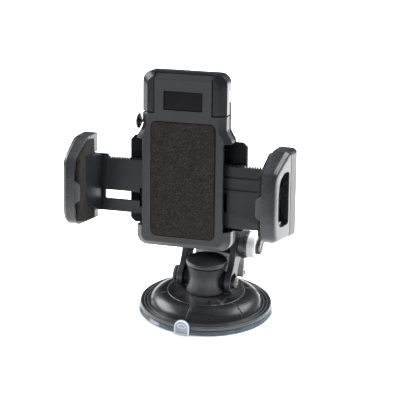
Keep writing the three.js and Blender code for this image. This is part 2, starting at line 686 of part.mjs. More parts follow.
function armPlate({ layer, bottom, slotOuter, slotInner, end, rackFacing, narrow }) {
  const wayEnd = narrow ? -26 : -RIGHT_WAY_END;
  const outline = [
    [-ARM_JOINT_X - 1, bottom], [end, bottom], [end, ARM_TOP],
    ...ratchetTeeth(-44.6, end - 1, ARM_TOP).reverse(),
    [-ARM_END_X, ARM_TOP], [-ARM_END_X, ARM_END_TOP], [-ARM_JOINT_X - 1, ARM_END_TOP],
  ];
  const far = PINION_Z - rackFacing * 5.6;
  const rack = rackEdge(wayEnd + 2, slotInner - 1, rackFacing);
  const near = PINION_Z + rackFacing * 5.1;
  let slot = [[wayEnd, near], ...rack, [slotInner, near], [slotInner, far], [wayEnd, far]];
  if (narrow) slot = [...slot, [-26, 0.4], [slotOuter, 0.4], [slotOuter, 5.4], [-26, 5.4]];
  return prismY(outline, ...layer, [slot]);
}

// The block at an arm's end that carries the jaw: bent in plan, sloped in side view.
function rootPlan(back, margin) {
  return [
    [-ROOT_X - margin, -11.5 - margin], [-52.9, -14.6 - margin], [-PAD_FACE_X, -14.6 - margin],
    [-48.9 + margin, -6], [-ARM_JOINT_X + margin, back], [-ROOT_X - margin, back],
  ];
}

function rootProfile(back, margin) {
  return [
    [-14.6 - margin, 27 + margin], [-14.6 - margin, 3.2], [-13.6, 0.8 - margin], [-3, -5.1 - margin],
    [3.2, -6.5 - margin], [back, -6.5 - margin], [back, ARM_END_TOP + margin],
    [0, ARM_END_TOP + margin],
  ];
}

function rootBlock(back, margin = 0) {
  const plan = solid(extrude(rootPlan(back, margin), 40).translate(0, 0, -10));
  return plan.intersect(prismX(rootProfile(back, margin), -60, -45));
}

function mirrored(geometrySolid) {
  const mesh = geometrySolid.getMesh();
  const flipped = Float32Array.from(mesh.vertProperties, (value, i) => (i % 3 === 0 ? -value : value));
  const faces = Uint32Array.from(mesh.triVerts);
  for (let i = 0; i < faces.length; i += 3) [faces[i], faces[i + 1]] = [faces[i + 1], faces[i]];
  return new wasm.Manifold(new wasm.Mesh({ numProp: 3, vertProperties: flipped, triVerts: faces }));
}

function leftArm() {
  const plate = armPlate({
    layer: LEFT_LAYER, bottom: -6.5, slotOuter: -46.6, slotInner: 5.2, end: 7.2,
    rackFacing: 1, narrow: true,
  });
  return join(plate, rootBlock(LEFT_LAYER[1]));
}

function rightArm() {
  const [front, back] = RIGHT_LAYER;
  const plate = armPlate({
    layer: RIGHT_LAYER, bottom: -11, slotInner: 5.2, end: 7.2, rackFacing: -1, narrow: false,
  });
  const grooves = [17.2, 10.4].map((z) => block(-46, 8, front - PAST, front + 0.6, z, z + 1.3));
  return mirrored(join(cut(plate, ...grooves), rootBlock(back)));
}

// ---------- jaws, drawn as the left one ----------
// Side view of a jaw: a straight back and a long curved nose, moved inwards by a margin.
function jawOutline(margin, back) {
  const edge = [
    [-5, 36.8], [-8.5, 35.6], [-21.3, 29.3], [-24, 27], [-25.3, 23.5], [-25.9, 14], [-26, 3],
    [-25.2, -4], [-23.6, -7.5], [-21, -9.6], [-18, -10.4],
  ];
  const all = [[60, 36.8], ...edge, [60, -13.5]];
  const moved = edge.map(([y, z], i) => {
    const [before, after] = [all[i], all[i + 2]];
    const along = new THREE.Vector2(after[0] - before[0], after[1] - before[1]).normalize();
    return [y - along.y * margin, z + along.x * margin];
  });
  return [[back, 36.8 - margin], ...moved, [back, -11.8 + margin]];
}

function jawLoft() {
  return loftX([
    { at: -JAW_OUTER_X, outline: jawOutline(JAW_SHRINK, JAW_BACK) },
    { at: -JAW_MIDDLE_X, outline: jawOutline(GAP, JAW_BACK) },
    { at: -RIM_X, outline: jawOutline(0, JAW_BACK) },
  ]);
}

function rootPocket() {
  return rootBlock(JAW_BACK + PAST, GAP);
}

function screwBores() {
  return JAW_SCREW_ZS.map((z) => rod('y', 1.3, -8, 9, [JAW_SCREW_X, z], 16));
}

function jawShell() {
  const recess = prismX([
    [-7.4, -2], [-6.2, -0.8], [-6.2, 25.3], [-7.4, 26.5], [-13, 26.5], [-18.4, 23.4], [-20.2, 18],
    [-20.7, 10], [-20.2, 2], [-18, -1.2], [-15, -2],
  ], -JAW_OUTER_X - PAST, -JAW_MIDDLE_X + PAST);
  const front = block(-70, -RIM_X + PAST, -40, JAW_SEAM, -20, 45);
  const [low, high] = LIP;
  const chamfer = prismY([
    [-54.6, low], [-52.9, low], [-49.9, low + 2.5], [-49.9, high - 2.5], [-52.9, high], [-54.6, high],
  ], -25.7, -24.8);
  return join(cut(jawLoft().intersect(front), rootPocket(), recess, ...screwBores()), chamfer);
}

function jawCover() {
  const back = block(-70, -RIM_X + PAST, JAW_SEAM + GAP, 10, -20, 45);
  return cut(jawLoft().intersect(back), rootPocket(), ...screwBores());
}

function jawPad() {
  return cut(prismX(jawOutline(1.6, PAD_BACK), -RIM_X + GAP, -PAD_FACE_X), rootPocket());
}

function jawScrew(z) {
  const shank = rod('y', 1, -7.5, 7.9, [JAW_SCREW_X, z], 12);
  return join(shank, rod('y', 2, 7.8, 8.6, [JAW_SCREW_X, z], 16));
}

function addJaw(group, side) {
  const turn = side === 'left' ? (shape) => shape : mirrored;
  const arm = side === 'left' ? leftArm() : rightArm();
  place(group, `${side}_arm`, arm, satinBlack);
  place(group, `${side}_jaw_shell`, turn(jawShell()), satinBlack);
  place(group, `${side}_jaw_cover`, turn(jawCover()), satinBlack);
  place(group, `${side}_jaw_pad`, turn(jawPad()), foam);
  JAW_SCREW_ZS.forEach((z, i) => place(group, `${side}_jaw_screw_${i + 1}`, turn(jawScrew(z)), steel));
}

// ---------- assembly ----------
const mount = new THREE.Group();
addBase(mount);

const turretFrame = new THREE.Group();
turretFrame.rotation.z = TURRET_YAW;
mount.add(turretFrame);
addTurret(turretFrame);

const forkFrame = new THREE.Group();
forkFrame.position.set(0, 0, LOW_PIVOT_Z);
forkFrame.rotation.x = -FORK_LEAN;
turretFrame.add(forkFrame);
addFork(forkFrame);

const headFrame = new THREE.Group();
headFrame.position.set(0, 0, FORK_LENGTH);
headFrame.rotation.x = FORK_LEAN - HOLDER_LEAN;
forkFrame.add(headFrame);
addClamp(headFrame);
place(headFrame, 'tilt_head', tiltHead(), satinBlack);

const holderFrame = new THREE.Group();
holderFrame.position.set(0, -HEAD_REACH, HEAD_RISE);
holderFrame.rotation.y = HOLDER_SWIVEL;
headFrame.add(holderFrame);
addSwivel(holderFrame);
addBody(holderFrame);
addJaw(holderFrame, 'left');
addJaw(holderFrame, 'right');

export default mount;
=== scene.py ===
"""Looks for the car phone mount: fine shells, foam pads, toothed arms and studio light.

Lengths are millimetres until a piece is placed; the frames below turn them to metres.
"""

import json
import math

import bmesh
import bpy
from mathutils import Matrix, Vector, noise


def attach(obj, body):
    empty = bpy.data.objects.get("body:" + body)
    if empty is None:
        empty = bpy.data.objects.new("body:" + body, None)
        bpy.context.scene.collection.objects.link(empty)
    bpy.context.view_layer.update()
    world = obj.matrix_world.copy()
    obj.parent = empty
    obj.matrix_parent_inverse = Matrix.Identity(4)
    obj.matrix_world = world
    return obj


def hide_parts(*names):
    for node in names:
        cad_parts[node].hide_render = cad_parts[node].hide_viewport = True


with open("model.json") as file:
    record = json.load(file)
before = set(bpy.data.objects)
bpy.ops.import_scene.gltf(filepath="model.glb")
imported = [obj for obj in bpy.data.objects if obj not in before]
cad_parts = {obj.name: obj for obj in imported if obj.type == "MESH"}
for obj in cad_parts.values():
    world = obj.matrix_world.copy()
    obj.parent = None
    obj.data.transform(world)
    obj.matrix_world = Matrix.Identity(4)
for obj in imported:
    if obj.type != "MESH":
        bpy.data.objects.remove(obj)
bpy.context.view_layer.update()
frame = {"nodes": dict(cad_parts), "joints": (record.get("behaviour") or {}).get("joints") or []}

MM = 0.001
JOINTS = {joint["name"]: joint for joint in frame["joints"]}


# ---------- frames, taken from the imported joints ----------
def joint_point(name):
    return Vector(JOINTS[name]["pos_m"])


def joint_axis(name):
    return Vector(JOINTS[name]["axis"]).normalized()


def frame_of(origin, x_axis, y_axis, z_axis):
    """Local millimetres to the row frame's metres."""
    rotation = Matrix((x_axis, y_axis, z_axis)).transposed().to_4x4()
    return Matrix.Translation(origin) @ rotation @ Matrix.Scale(MM, 4)


X, Z = Vector((1, 0, 0)), Vector((0, 0, 1))
BASE = Matrix.Scale(MM, 4)
PIVOT_X = joint_axis("fork_hinge")
TURRET = frame_of(Vector(), PIVOT_X, Z.cross(PIVOT_X), Z)
HOLDER_X = joint_axis("left_jaw_slide")
HOLDER_Y = joint_axis("holder_swivel")
HOLDER_Z = joint_axis("top_slider_slide")
HOLDER = frame_of(joint_point("holder_swivel"), HOLDER_X, HOLDER_Y, HOLDER_Z)
LOW_PIVOT = joint_point("fork_hinge")
HIGH_PIVOT = joint_point("head_tilt")
FORK_UP = (HIGH_PIVOT - LOW_PIVOT).normalized()
FORK = frame_of(LOW_PIVOT, PIVOT_X, FORK_UP.cross(PIVOT_X), FORK_UP)
FORK_LENGTH = (HIGH_PIVOT - LOW_PIVOT).length / MM
HEAD = frame_of(HIGH_PIVOT, PIVOT_X, HOLDER_Y, PIVOT_X.cross(HOLDER_Y))
LEVER_PIN = joint_point("suction_lever_hinge") / MM


# ---------- mesh helpers ----------
def make(name, bm):
    bmesh.ops.recalc_face_normals(bm, faces=bm.faces)
    mesh = bpy.data.meshes.new(name)
    bm.to_mesh(mesh)
    bm.free()
    obj = bpy.data.objects.new(name, mesh)
    bpy.context.scene.collection.objects.link(obj)
    return obj


def lofted(name, rings):
    """A closed solid through rings of points of one length, capped at both ends."""
    bm = bmesh.new()
    made = [[bm.verts.new(p) for p in ring] for ring in rings]
    count = len(made[0])
    for low, high in zip(made, made[1:]):
        for i in range(count):
            j = (i + 1) % count
            bm.faces.new((low[i], low[j], high[j], high[i]))
    bm.faces.new(made[0])
    bm.faces.new(made[-1])
    return make(name, bm)


PLANES = {
    "x": lambda u, v, w: (w, u, v),
    "y": lambda u, v, w: (u, w, v),
    "z": lambda u, v, w: (u, v, w),
}


def prism(name, outline, low, high, along):
    """An outline drawn across one axis and drawn out along it."""
    at = PLANES[along]
    return lofted(name, [[at(u, v, w) for u, v in outline] for w in (low, high)])


def block(name, x0, x1, y0, y1, z0, z1):
    return prism(name, [(x0, y0), (x1, y0), (x1, y1), (x0, y1)], z0, z1, "z")


def revolved(name, profile, along="z", centre=(0, 0), steps=128):
    """A profile of (radius, place) turned about an axis; it starts and ends on it or closes."""
    at = PLANES[along]
    bm = bmesh.new()
    closed = profile[0] == profile[-1]
    rows = profile[:-1] if closed else profile
    rings = []
    for radius, w in rows:
        if radius < 1e-6:
            rings.append([bm.verts.new(at(*centre, w))])
            continue
        ring = []
        for i in range(steps):
            turn = 2 * math.pi * i / steps
            u = centre[0] + radius * math.cos(turn)
            v = centre[1] + radius * math.sin(turn)
            ring.append(bm.verts.new(at(u, v, w)))
        rings.append(ring)
    pairs = list(zip(rings, rings[1:])) + ([(rings[-1], rings[0])] if closed else [])
    for low, high in pairs:
        for i in range(steps):
            j = (i + 1) % steps
            corners = [low[i % len(low)], low[j % len(low)],
                       high[j % len(high)], high[i % len(high)]]
            corners = list(dict.fromkeys(corners))
            if len(corners) > 2:
                bm.faces.new(corners)
    return make(name, bm)


def rod(name, along, radius, low, high, centre=(0, 0), steps=64, edge=0.0):
    """A round bar with rounded rims."""
    profile = [(0, low)]
    for i in range(5 if edge else 1):
        a = math.pi / 2 * i / 4
        profile.append((radius - edge + edge * math.sin(a), low + edge - edge * math.cos(a)))
    for i in range(5 if edge else 1):
        a = math.pi / 2 * i / 4
        profile.append((radius - edge + edge * math.cos(a), high - edge + edge * math.sin(a)))
    profile.append((0, high))
    return revolved(name, profile, along, centre, steps)


def apply_all(obj):
    graph = bpy.context.evaluated_depsgraph_get()
    mesh = bpy.data.meshes.new_from_object(obj.evaluated_get(graph))
    obj.modifiers.clear()
    obj.data = mesh
    return obj


def combine(obj, operation, tools):
    for tool in tools:
        change = obj.modifiers.new("boolean", "BOOLEAN")
        change.operation = operation
        change.solver = "EXACT"
        change.object = tool
    apply_all(obj)
    for tool in tools:
        bpy.data.objects.remove(tool)
    return obj


def carve(obj, *tools):
    return combine(obj, "DIFFERENCE", tools)


def fuse(obj, *others):
    return combine(obj, "UNION", others)


def crossed(obj, *others):
    return combine(obj, "INTERSECT", others)


def soften(obj, width, segments=3, angle=28):
    """Cleans flat faces, then rounds every edge sharper than the angle."""
    bm = bmesh.new()
    bm.from_mesh(obj.data)
    bmesh.ops.remove_doubles(bm, verts=bm.verts, dist=0.004)
    bmesh.ops.dissolve_limit(bm, angle_limit=math.radians(0.6), verts=bm.verts, edges=bm.edges)
    bm.to_mesh(obj.data)
    bm.free()
    bevel = obj.modifiers.new("bevel", "BEVEL")
    bevel.width = width
    bevel.segments = segments
    bevel.limit_method = "ANGLE"
    bevel.angle_limit = math.radians(angle)
    bevel.use_clamp_overlap = False
    bevel.miter_outer = "MITER_ARC"
    return apply_all(obj)


def smooth(obj, angle=32):
    for face in obj.data.polygons:
        face.use_smooth = True
    obj.data.set_sharp_from_angle(angle=math.radians(angle))
    weigh = obj.modifiers.new("weighted", "WEIGHTED_NORMAL")
    weigh.keep_sharp = True


def tube(name, points, radius, closed=False):
    """A thin round bead along a path."""
    curve = bpy.data.curves.new(name, "CURVE")
    curve.dimensions = "3D"
    curve.bevel_depth = radius
    curve.bevel_resolution = 2
    curve.use_fill_caps = not closed
    line = curve.splines.new("POLY")
    line.points.add(len(points) - 1)
    for spot, point in zip(line.points, points):
        spot.co = (*point, 1)
    line.use_cyclic_u = closed
    path = bpy.data.objects.new("path", curve)
    bpy.context.scene.collection.objects.link(path)
    graph = bpy.context.evaluated_depsgraph_get()
    mesh = bpy.data.meshes.new_from_object(path.evaluated_get(graph))
    bpy.data.objects.remove(path)
    obj = bpy.data.objects.new(name, mesh)
    bpy.context.scene.collection.objects.link(obj)
    return obj


def handed(obj, side):
    """Turns a shape drawn for the left into its right-hand twin, where that is the side wanted."""
    if side == "right":
        obj.data.transform(Matrix.Scale(-1, 4, X))
        obj.data.flip_normals()


def keep(obj, place, body, material, slot, *nodes, angle=32):
    """Sets a finished piece down in its frame, on its body, in its material."""
    obj.data.transform(place)
    obj.data.materials.clear()
    obj.data.materials.append(material)
    smooth(obj, angle)
    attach(obj, body)
    if nodes:
        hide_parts(*nodes)


# ---------- outlines ----------
def arc(centre, radius, start, stop, steps=8):
    points = []
    for i in range(steps + 1):
        a = math.radians(start + (stop - start) * i / steps)
        points.append((centre[0] + radius * math.cos(a), centre[1] + radius * math.sin(a)))
    return points


def rounded(u0, u1, v0, v1, r, steps=8):
    return (arc((u1 - r, v0 + r), r, -90, 0, steps) + arc((u1 - r, v1 - r), r, 0, 90, steps)
            + arc((u0 + r, v1 - r), r, 90, 180, steps) + arc((u0 + r, v0 + r), r, 180, 270, steps))


def clipped(u0, u1, v0, v1, c):
    return [(u0 + c, v0), (u1 - c, v0), (u1, v0 + c), (u1, v1 - c),
            (u1 - c, v1), (u0 + c, v1), (u0, v1 - c), (u0, v0 + c)]


def spline(points, steps=6):
    """A Catmull-Rom curve through the points."""
    ends = [points[0], *points, points[-1]]
    curve = []
    for a, b, c, d in zip(ends, ends[1:], ends[2:], ends[3:]):
        for i in range(steps):
            t = i / steps
            curve.append(tuple(
                0.5 * (2 * q + (r - p) * t + (2 * p - 5 * q + 4 * r - s) * t * t
                       + (3 * q - p - 3 * r + s) * t ** 3)
                for p, q, r, s in zip(a, b, c, d)))
    return curve + [points[-1]]


def inset(outline, amount):
    """The outline moved inwards by an even distance, for gently bending outlines."""
    count = len(outline)
    area = sum(a[0] * b[1] - b[0] * a[1] for a, b in zip(outline, outline[1:] + outline[:1]))
    side = 1 if area > 0 else -1
    moved = []
    for i in range(count):
        p = Vector(outline[i])
        before = (p - Vector(outline[i - 1])).normalized()
        after = (Vector(outline[(i + 1) % count]) - p).normalized()
        n0 = Vector((-before.y, before.x)) * side
        n1 = Vector((-after.y, after.x)) * side
        out = n0 + n1
        out = out / max(out.length_squared, 0.8) * 2
        moved.append(tuple(p + out * amount))
    return moved


# ---------- materials ----------
class Graph:
    """A few words for building a node material."""

    def __init__(self, name):
        self.material = bpy.data.materials.new(name)
        self.material.use_nodes = True
        self.tree = self.material.node_tree
        self.shader = self.tree.nodes["Principled BSDF"]
        self.place = self.tree.nodes.new("ShaderNodeTexCoord").outputs["Object"]

    def set(self, **values):
        for name, value in values.items():
            self.shader.inputs[name.replace("_", " ")].default_value = value

    def link(self, out, socket):
        self.tree.links.new(out, socket)

    def noise(self, scale, detail=2.0, roughness=0.5, stretch=None):
        node = self.tree.nodes.new("ShaderNodeTexNoise")
        node.inputs["Scale"].default_value = scale
        node.inputs["Detail"].default_value = detail
        node.inputs["Roughness"].default_value = roughness
        source = self.place
        if stretch:
            mapping = self.tree.nodes.new("ShaderNodeMapping")
            mapping.inputs["Scale"].default_value = stretch
            self.link(self.place, mapping.inputs["Vector"])
            source = mapping.outputs["Vector"]
        self.link(source, node.inputs["Vector"])
        return node.outputs["Fac"]

    def cells(self, scale):
        node = self.tree.nodes.new("ShaderNodeTexVoronoi")
        node.inputs["Scale"].default_value = scale
        self.link(self.place, node.inputs["Vector"])
        return node.outputs["Distance"]

    def ramp(self, out, *stops):
        node = self.tree.nodes.new("ShaderNodeValToRGB")
        ramp = node.color_ramp
        while len(ramp.elements) < len(stops):
            ramp.elements.new(0.5)
        for element, (place, colour) in zip(ramp.elements, stops):
            element.position = place
            element.color = (*colour, 1)
        self.link(out, node.inputs["Fac"])
        return node.outputs["Color"]

    def spread(self, out, low, high, start=0.0, stop=1.0):
        node = self.tree.nodes.new("ShaderNodeMapRange")
        for name, value in (("From Min", start), ("From Max", stop),
                            ("To Min", low), ("To Max", high)):
            node.inputs[name].default_value = value
        self.link(out, node.inputs["Value"])
        return node.outputs["Result"]

    def mix(self, factor, a, b):
        node = self.tree.nodes.new("ShaderNodeMix")
        node.data_type = "RGBA"
        amount, first, second = (node.inputs[i] for i in (0, 6, 7))
        for socket, value in ((amount, factor), (first, a), (second, b)):
            if isinstance(value, tuple):
                socket.default_value = (*value, 1)
            else:
                self.link(value, socket)
        return node.outputs[2]

    def bumps(self, *layers):
        """Layers of (height, strength, distance in millimetres), coarse to fine."""
        normal = None
        for height, strength, distance in layers:
            node = self.tree.nodes.new("ShaderNodeBump")
            node.inputs["Strength"].default_value = strength
            node.inputs["Distance"].default_value = distance * MM
            self.link(height, node.inputs["Height"])
            if normal:
                self.link(normal, node.inputs["Normal"])
            normal = node.outputs["Normal"]
        self.link(normal, self.shader.inputs["Normal"])

    def edges(self):
        """How convex the surface is here: where edges are lightened, partly as wear and partly as
        a painted highlight.
        """
        return self.tree.nodes.new("ShaderNodeNewGeometry").outputs["Pointiness"]

    def colour(self, out):
        self.link(out, self.shader.inputs["Base Color"])

    def rough(self, out):
        self.link(out, self.shader.inputs["Roughness"])


SPARK_SCALE = 2600


def moulded(name, dark, light, gloss, matte, grain=0.35, specular=0.5, wear_and_highlight=0.01):
    """Spark-textured injection moulding: fine grain, slow tone drift, edges lightened partly as
    wear and partly as a painted highlight.
    """
    g = Graph(name)
    drift = g.noise(38, 3)
    fine = g.noise(SPARK_SCALE, 2, 0.6)
    base = g.ramp(drift, (0.3, dark), (0.7, light))
    # Convex edges are mixed towards a lighter colour: part wear, part painted highlight on ridges
    # and bevels.
    worn_and_highlit_edges = g.spread(g.edges(), 0, 0.6, 0.51, 0.6)
    g.colour(g.mix(worn_and_highlit_edges, base, tuple(min(1, 1.8 * c + wear_and_highlight) for c in light)))
    g.rough(g.spread(fine, gloss, matte, 0.3, 0.7))
    g.bumps((g.noise(SPARK_SCALE / 9, 2), grain * 0.3, 0.02), (fine, grain, 0.012))
    g.set(Specular_IOR_Level=specular)
    return g.material


def sponge(name, dark, light):
    """Fine closed-cell foam: open pores, pale flecks and a soft sheen."""
    g = Graph(name)
    cells = g.cells(1500)
    flecks = g.noise(1150, 3, 0.7)
    patches = g.noise(220, 3, 0.6)
    tone = g.ramp(flecks, (0.34, dark), (0.66, light))
    tone = g.mix(g.spread(patches, 0.0, 0.35, 0.35, 0.7), tone, tuple(c * 0.6 for c in dark))
    g.colour(tone)
    g.rough(g.spread(cells, 0.85, 1.0))
    g.bumps((patches, 0.25, 0.12), (flecks, 0.6, 0.12), (cells, 0.7, 0.08))
    g.set(Sheen_Weight=0.03, Sheen_Roughness=0.6, Specular_IOR_Level=0.06)
    return g.material


def metal(name, colour, gloss, matte, stretch):
    """Bright plate with fine turning marks and small dull patches."""
    g = Graph(name)
    brushed = g.noise(900, 4, 0.6, stretch)
    dull = g.noise(260, 3)
    g.colour(g.mix(g.spread(dull, 0, 0.5, 0.4, 0.7), colour, tuple(c * 0.72 for c in colour)))
    g.rough(g.spread(brushed, gloss, matte, 0.3, 0.7))
    g.bumps((brushed, 0.25, 0.01))
    g.set(Metallic=1.0)
    return g.material


def clear_vinyl(name, dark, light, transmission):
    """Soft clear plastic with a faint blue tint and handling haze."""
    g = Graph(name)
    haze = g.noise(90, 3)
    ripple = g.noise(240, 2)
    g.colour(g.ramp(haze, (0.3, dark), (0.75, light)))
    g.rough(g.spread(haze, 0.06, 0.2, 0.35, 0.75))
    g.bumps((ripple, 0.25, 0.05))
    g.set(Transmission_Weight=transmission, IOR=1.46, Specular_IOR_Level=0.6)
    return g.material


SATIN = moulded("satin_black", (0.0125, 0.0128, 0.0145), (0.0165, 0.017, 0.019), 0.34, 0.46)
# The edge lightening set on these materials is part wear, part painted highlight on bevels and
# ridges.
JAW_BLACK = moulded("jaw_black", (0.010, 0.0103, 0.0115), (0.014, 0.0144, 0.016), 0.2, 0.3, 0.05,
                    wear_and_highlight=0.12)
SLIDER_BLACK = moulded("slider_black", (0.004, 0.0044, 0.0052), (0.007, 0.0076, 0.009), 0.22, 0.34,
                       specular=0.42)
SMOOTH = moulded("smooth_black", (0.006, 0.0062, 0.007), (0.009, 0.0093, 0.0105), 0.24, 0.34, 0.08,
                 wear_and_highlight=0.12)
ARM_BLACK = moulded("arm_black", (0.0045, 0.0062, 0.0085), (0.007, 0.0092, 0.012), 0.28, 0.4, 0.12,
                    specular=0.3, wear_and_highlight=0.03)
DEEP = moulded("deep_black", (0.002, 0.0022, 0.003), (0.003, 0.0034, 0.0042), 0.4, 0.52, 0.2,
               specular=0.1)
PANEL = moulded("panel_black", (0.002, 0.002, 0.0025), (0.003, 0.003, 0.0036), 0.1, 0.18, 0.04,
                specular=0.18)
# A light grey for thin beads along edges and seams: a painted highlight.
PAINTED_HIGHLIGHT = moulded("painted_highlight_grey", (0.055, 0.056, 0.058), (0.075, 0.076, 0.078), 0.2, 0.3, 0.05)
POST_BLACK = moulded("post_black", (0.024, 0.0246, 0.0265), (0.030, 0.0307, 0.033), 0.32, 0.42,
                     0.1)
CAP_BLACK = moulded("cap_black", (0.0075, 0.008, 0.009), (0.010, 0.0108, 0.012), 0.3, 0.4, 0.1)
COVER_BLACK = moulded("cover_black", (0.009, 0.0093, 0.0105), (0.0125, 0.0129, 0.0145), 0.26, 0.36,
                      0.05, specular=0.34)
VINYL_TAB = clear_vinyl("vinyl_tab", (0.32, 0.37, 0.44), (0.46, 0.51, 0.58), 0.5)
GREY = moulded("grey_plastic", (0.36, 0.355, 0.34), (0.43, 0.425, 0.41), 0.36, 0.5, 0.3)
WHITE = moulded("white_plastic", (0.46, 0.46, 0.47), (0.55, 0.55, 0.55), 0.3, 0.45, 0.2)
FOAM = sponge("foam", (0.010, 0.0092, 0.0085), (0.040, 0.0375, 0.0345))
STEEL = metal("plated_steel", (0.27, 0.27, 0.275), 0.24, 0.42, (0.15, 1, 1))
OLD_STEEL = metal("dull_steel", (0.11, 0.108, 0.105), 0.35, 0.5, (0.15, 1, 1))
CLEAR = clear_vinyl("clear_vinyl", (0.13, 0.19, 0.26), (0.24, 0.32, 0.40), 0.6)
# A much paler clear vinyl for the tab's border and oval: a painted highlight on their edges.
CLEAR_PAINTED_HIGHLIGHT = clear_vinyl("clear_vinyl_painted_highlight", (0.62, 0.66, 0.72), (0.72, 0.75, 0.80), 0.25)


# ---------- stage ----------
VIEW_TURN, VIEW_RISE, VIEW_ROLL = 19, 21.26, 1.4
VIEW_DISTANCE, VIEW_ASIDE, VIEW_HEIGHT, LENS = 871.9, 1.12, 61.99, 128.57
WALL_LIGHT, WALL_TINT, FLAG_TINT = 0.38, (0.9, 0.94, 1.0), (0.03, 0.03, 0.03)
# the flag's direction, and the cosines off it where it ends and where it is full
FLAG_TOWARDS, FLAG_END, FLAG_FULL = (-0.30, 0.88, 0.36), 0.84, 0.94
PAPER_HALF = 6


def add_camera():
    """Above the object and a little to its right, with a long lens."""
    azimuth, elevation, roll = (math.radians(d) for d in (VIEW_TURN, VIEW_RISE, VIEW_ROLL))
    level = Vector((math.cos(azimuth), math.sin(azimuth), 0))
    back = Vector((math.sin(azimuth) * math.cos(elevation),
                   -math.cos(azimuth) * math.cos(elevation), math.sin(elevation)))
    up = back.cross(level)
    right = level * math.cos(roll) + up * math.sin(roll)
    over = up * math.cos(roll) - level * math.sin(roll)
    target = level * VIEW_ASIDE * MM + Z * VIEW_HEIGHT * MM
    camera = bpy.data.objects.new("camera", bpy.data.cameras.new("camera"))
    camera.data.sensor_width = 36
    camera.data.lens = LENS
    turn = Matrix((right, over, back)).transposed().to_4x4()
    camera.matrix_world = Matrix.Translation(target + back * VIEW_DISTANCE * MM) @ turn
    bpy.context.scene.collection.objects.link(camera)
    bpy.context.scene.camera = camera


def softbox(name, place, aim, size, power, mirrored_in_gloss=True):
    light = bpy.data.lights.new(name, "AREA")
    light.shape = "RECTANGLE"
    light.size, light.size_y = size
    light.energy = power
    obj = bpy.data.objects.new(name, light)
    obj.location = place
    obj.rotation_euler = (Vector(place) - Vector(aim)).to_track_quat("Z", "Y").to_euler()
    obj.visible_glossy = mirrored_in_gloss
    bpy.context.scene.collection.objects.link(obj)


def studio_walls():
    """Pale walls all round, and one dark flag behind for the object's level tops to reflect."""
    world = bpy.data.worlds.new("studio")
    world.use_nodes = True
    nodes, links = world.node_tree.nodes, world.node_tree.links
    where = nodes.new("ShaderNodeTexCoord")
    towards = nodes.new("ShaderNodeVectorMath")
    towards.operation = "DOT_PRODUCT"
    towards.inputs[1].default_value = FLAG_TOWARDS
    links.new(where.outputs["Generated"], towards.inputs[0])
    ramp = nodes.new("ShaderNodeValToRGB")
    stops = ((FLAG_END, WALL_TINT), (FLAG_FULL, FLAG_TINT))
    for element, (position, tint) in zip(ramp.color_ramp.elements, stops):
        element.position = position
        element.color = (*tint, 1)
    links.new(towards.outputs["Value"], ramp.inputs[0])
    links.new(ramp.outputs[0], nodes["Background"].inputs["Color"])
    nodes["Background"].inputs["Strength"].default_value = WALL_LIGHT
    return world


def add_stage():
    paper = rounded(-PAPER_HALF, PAPER_HALF, -PAPER_HALF, PAPER_HALF, 1)
    floor = prism("floor", paper, -0.01, 0, "z")
    g = Graph("floor_paper")
    g.colour(g.ramp(g.noise(3, 2), (0.3, (0.9, 0.9, 0.9)), (0.7, (0.93, 0.93, 0.93))))
    g.set(Roughness=0.8)
    floor.data.materials.append(g.material)
    bpy.context.scene.world = studio_walls()
    bpy.context.scene.view_settings.view_transform = "Standard"
    aim = (0, 0, 0.07)
    softbox("left_box", (-0.72, 0.06, 0.49), aim, (0.75, 0.45), 9)
    softbox("right_box", (0.52, 0.46, 0.74), aim, (0.75, 0.45), 6.5)
    softbox("key", (0.15, 0.75, 0.9), (0.1, 0.35, 0), (0.9, 0.5), 42, False)
    softbox("front_fill", (-0.3, -1.4, 1.4), (-0.15, -0.5, 0), (1.4, 1.0), 15, False)


# ---------- suction base ----------
PAD_R, FLANGE_R, FLANGE_Z = 40.0, 39.0, 4.8
DOME_R, PLATFORM_R, PLATFORM_Z = 33.2, 22.7, 11.3
TAB_TOP, TAB_HALF = 9.2, 4.5
SEAMS = [60 * k - 90 for k in range(6)]
# how far the surface stands up beside a seam, and drops in it, by degrees off it
SEAM_DEPTH = -0.3
SEAM_RISE = {-1.25: 0.0, -0.9: 0.12, -0.6: 0.1, -0.3: SEAM_DEPTH,
             0.3: SEAM_DEPTH, 0.6: 0.1, 0.9: 0.12, 1.25: 0.0}
LIFT_SLOT = 3.1
LEVER_HALF, LEVER_TIP = 15.6, 29.0


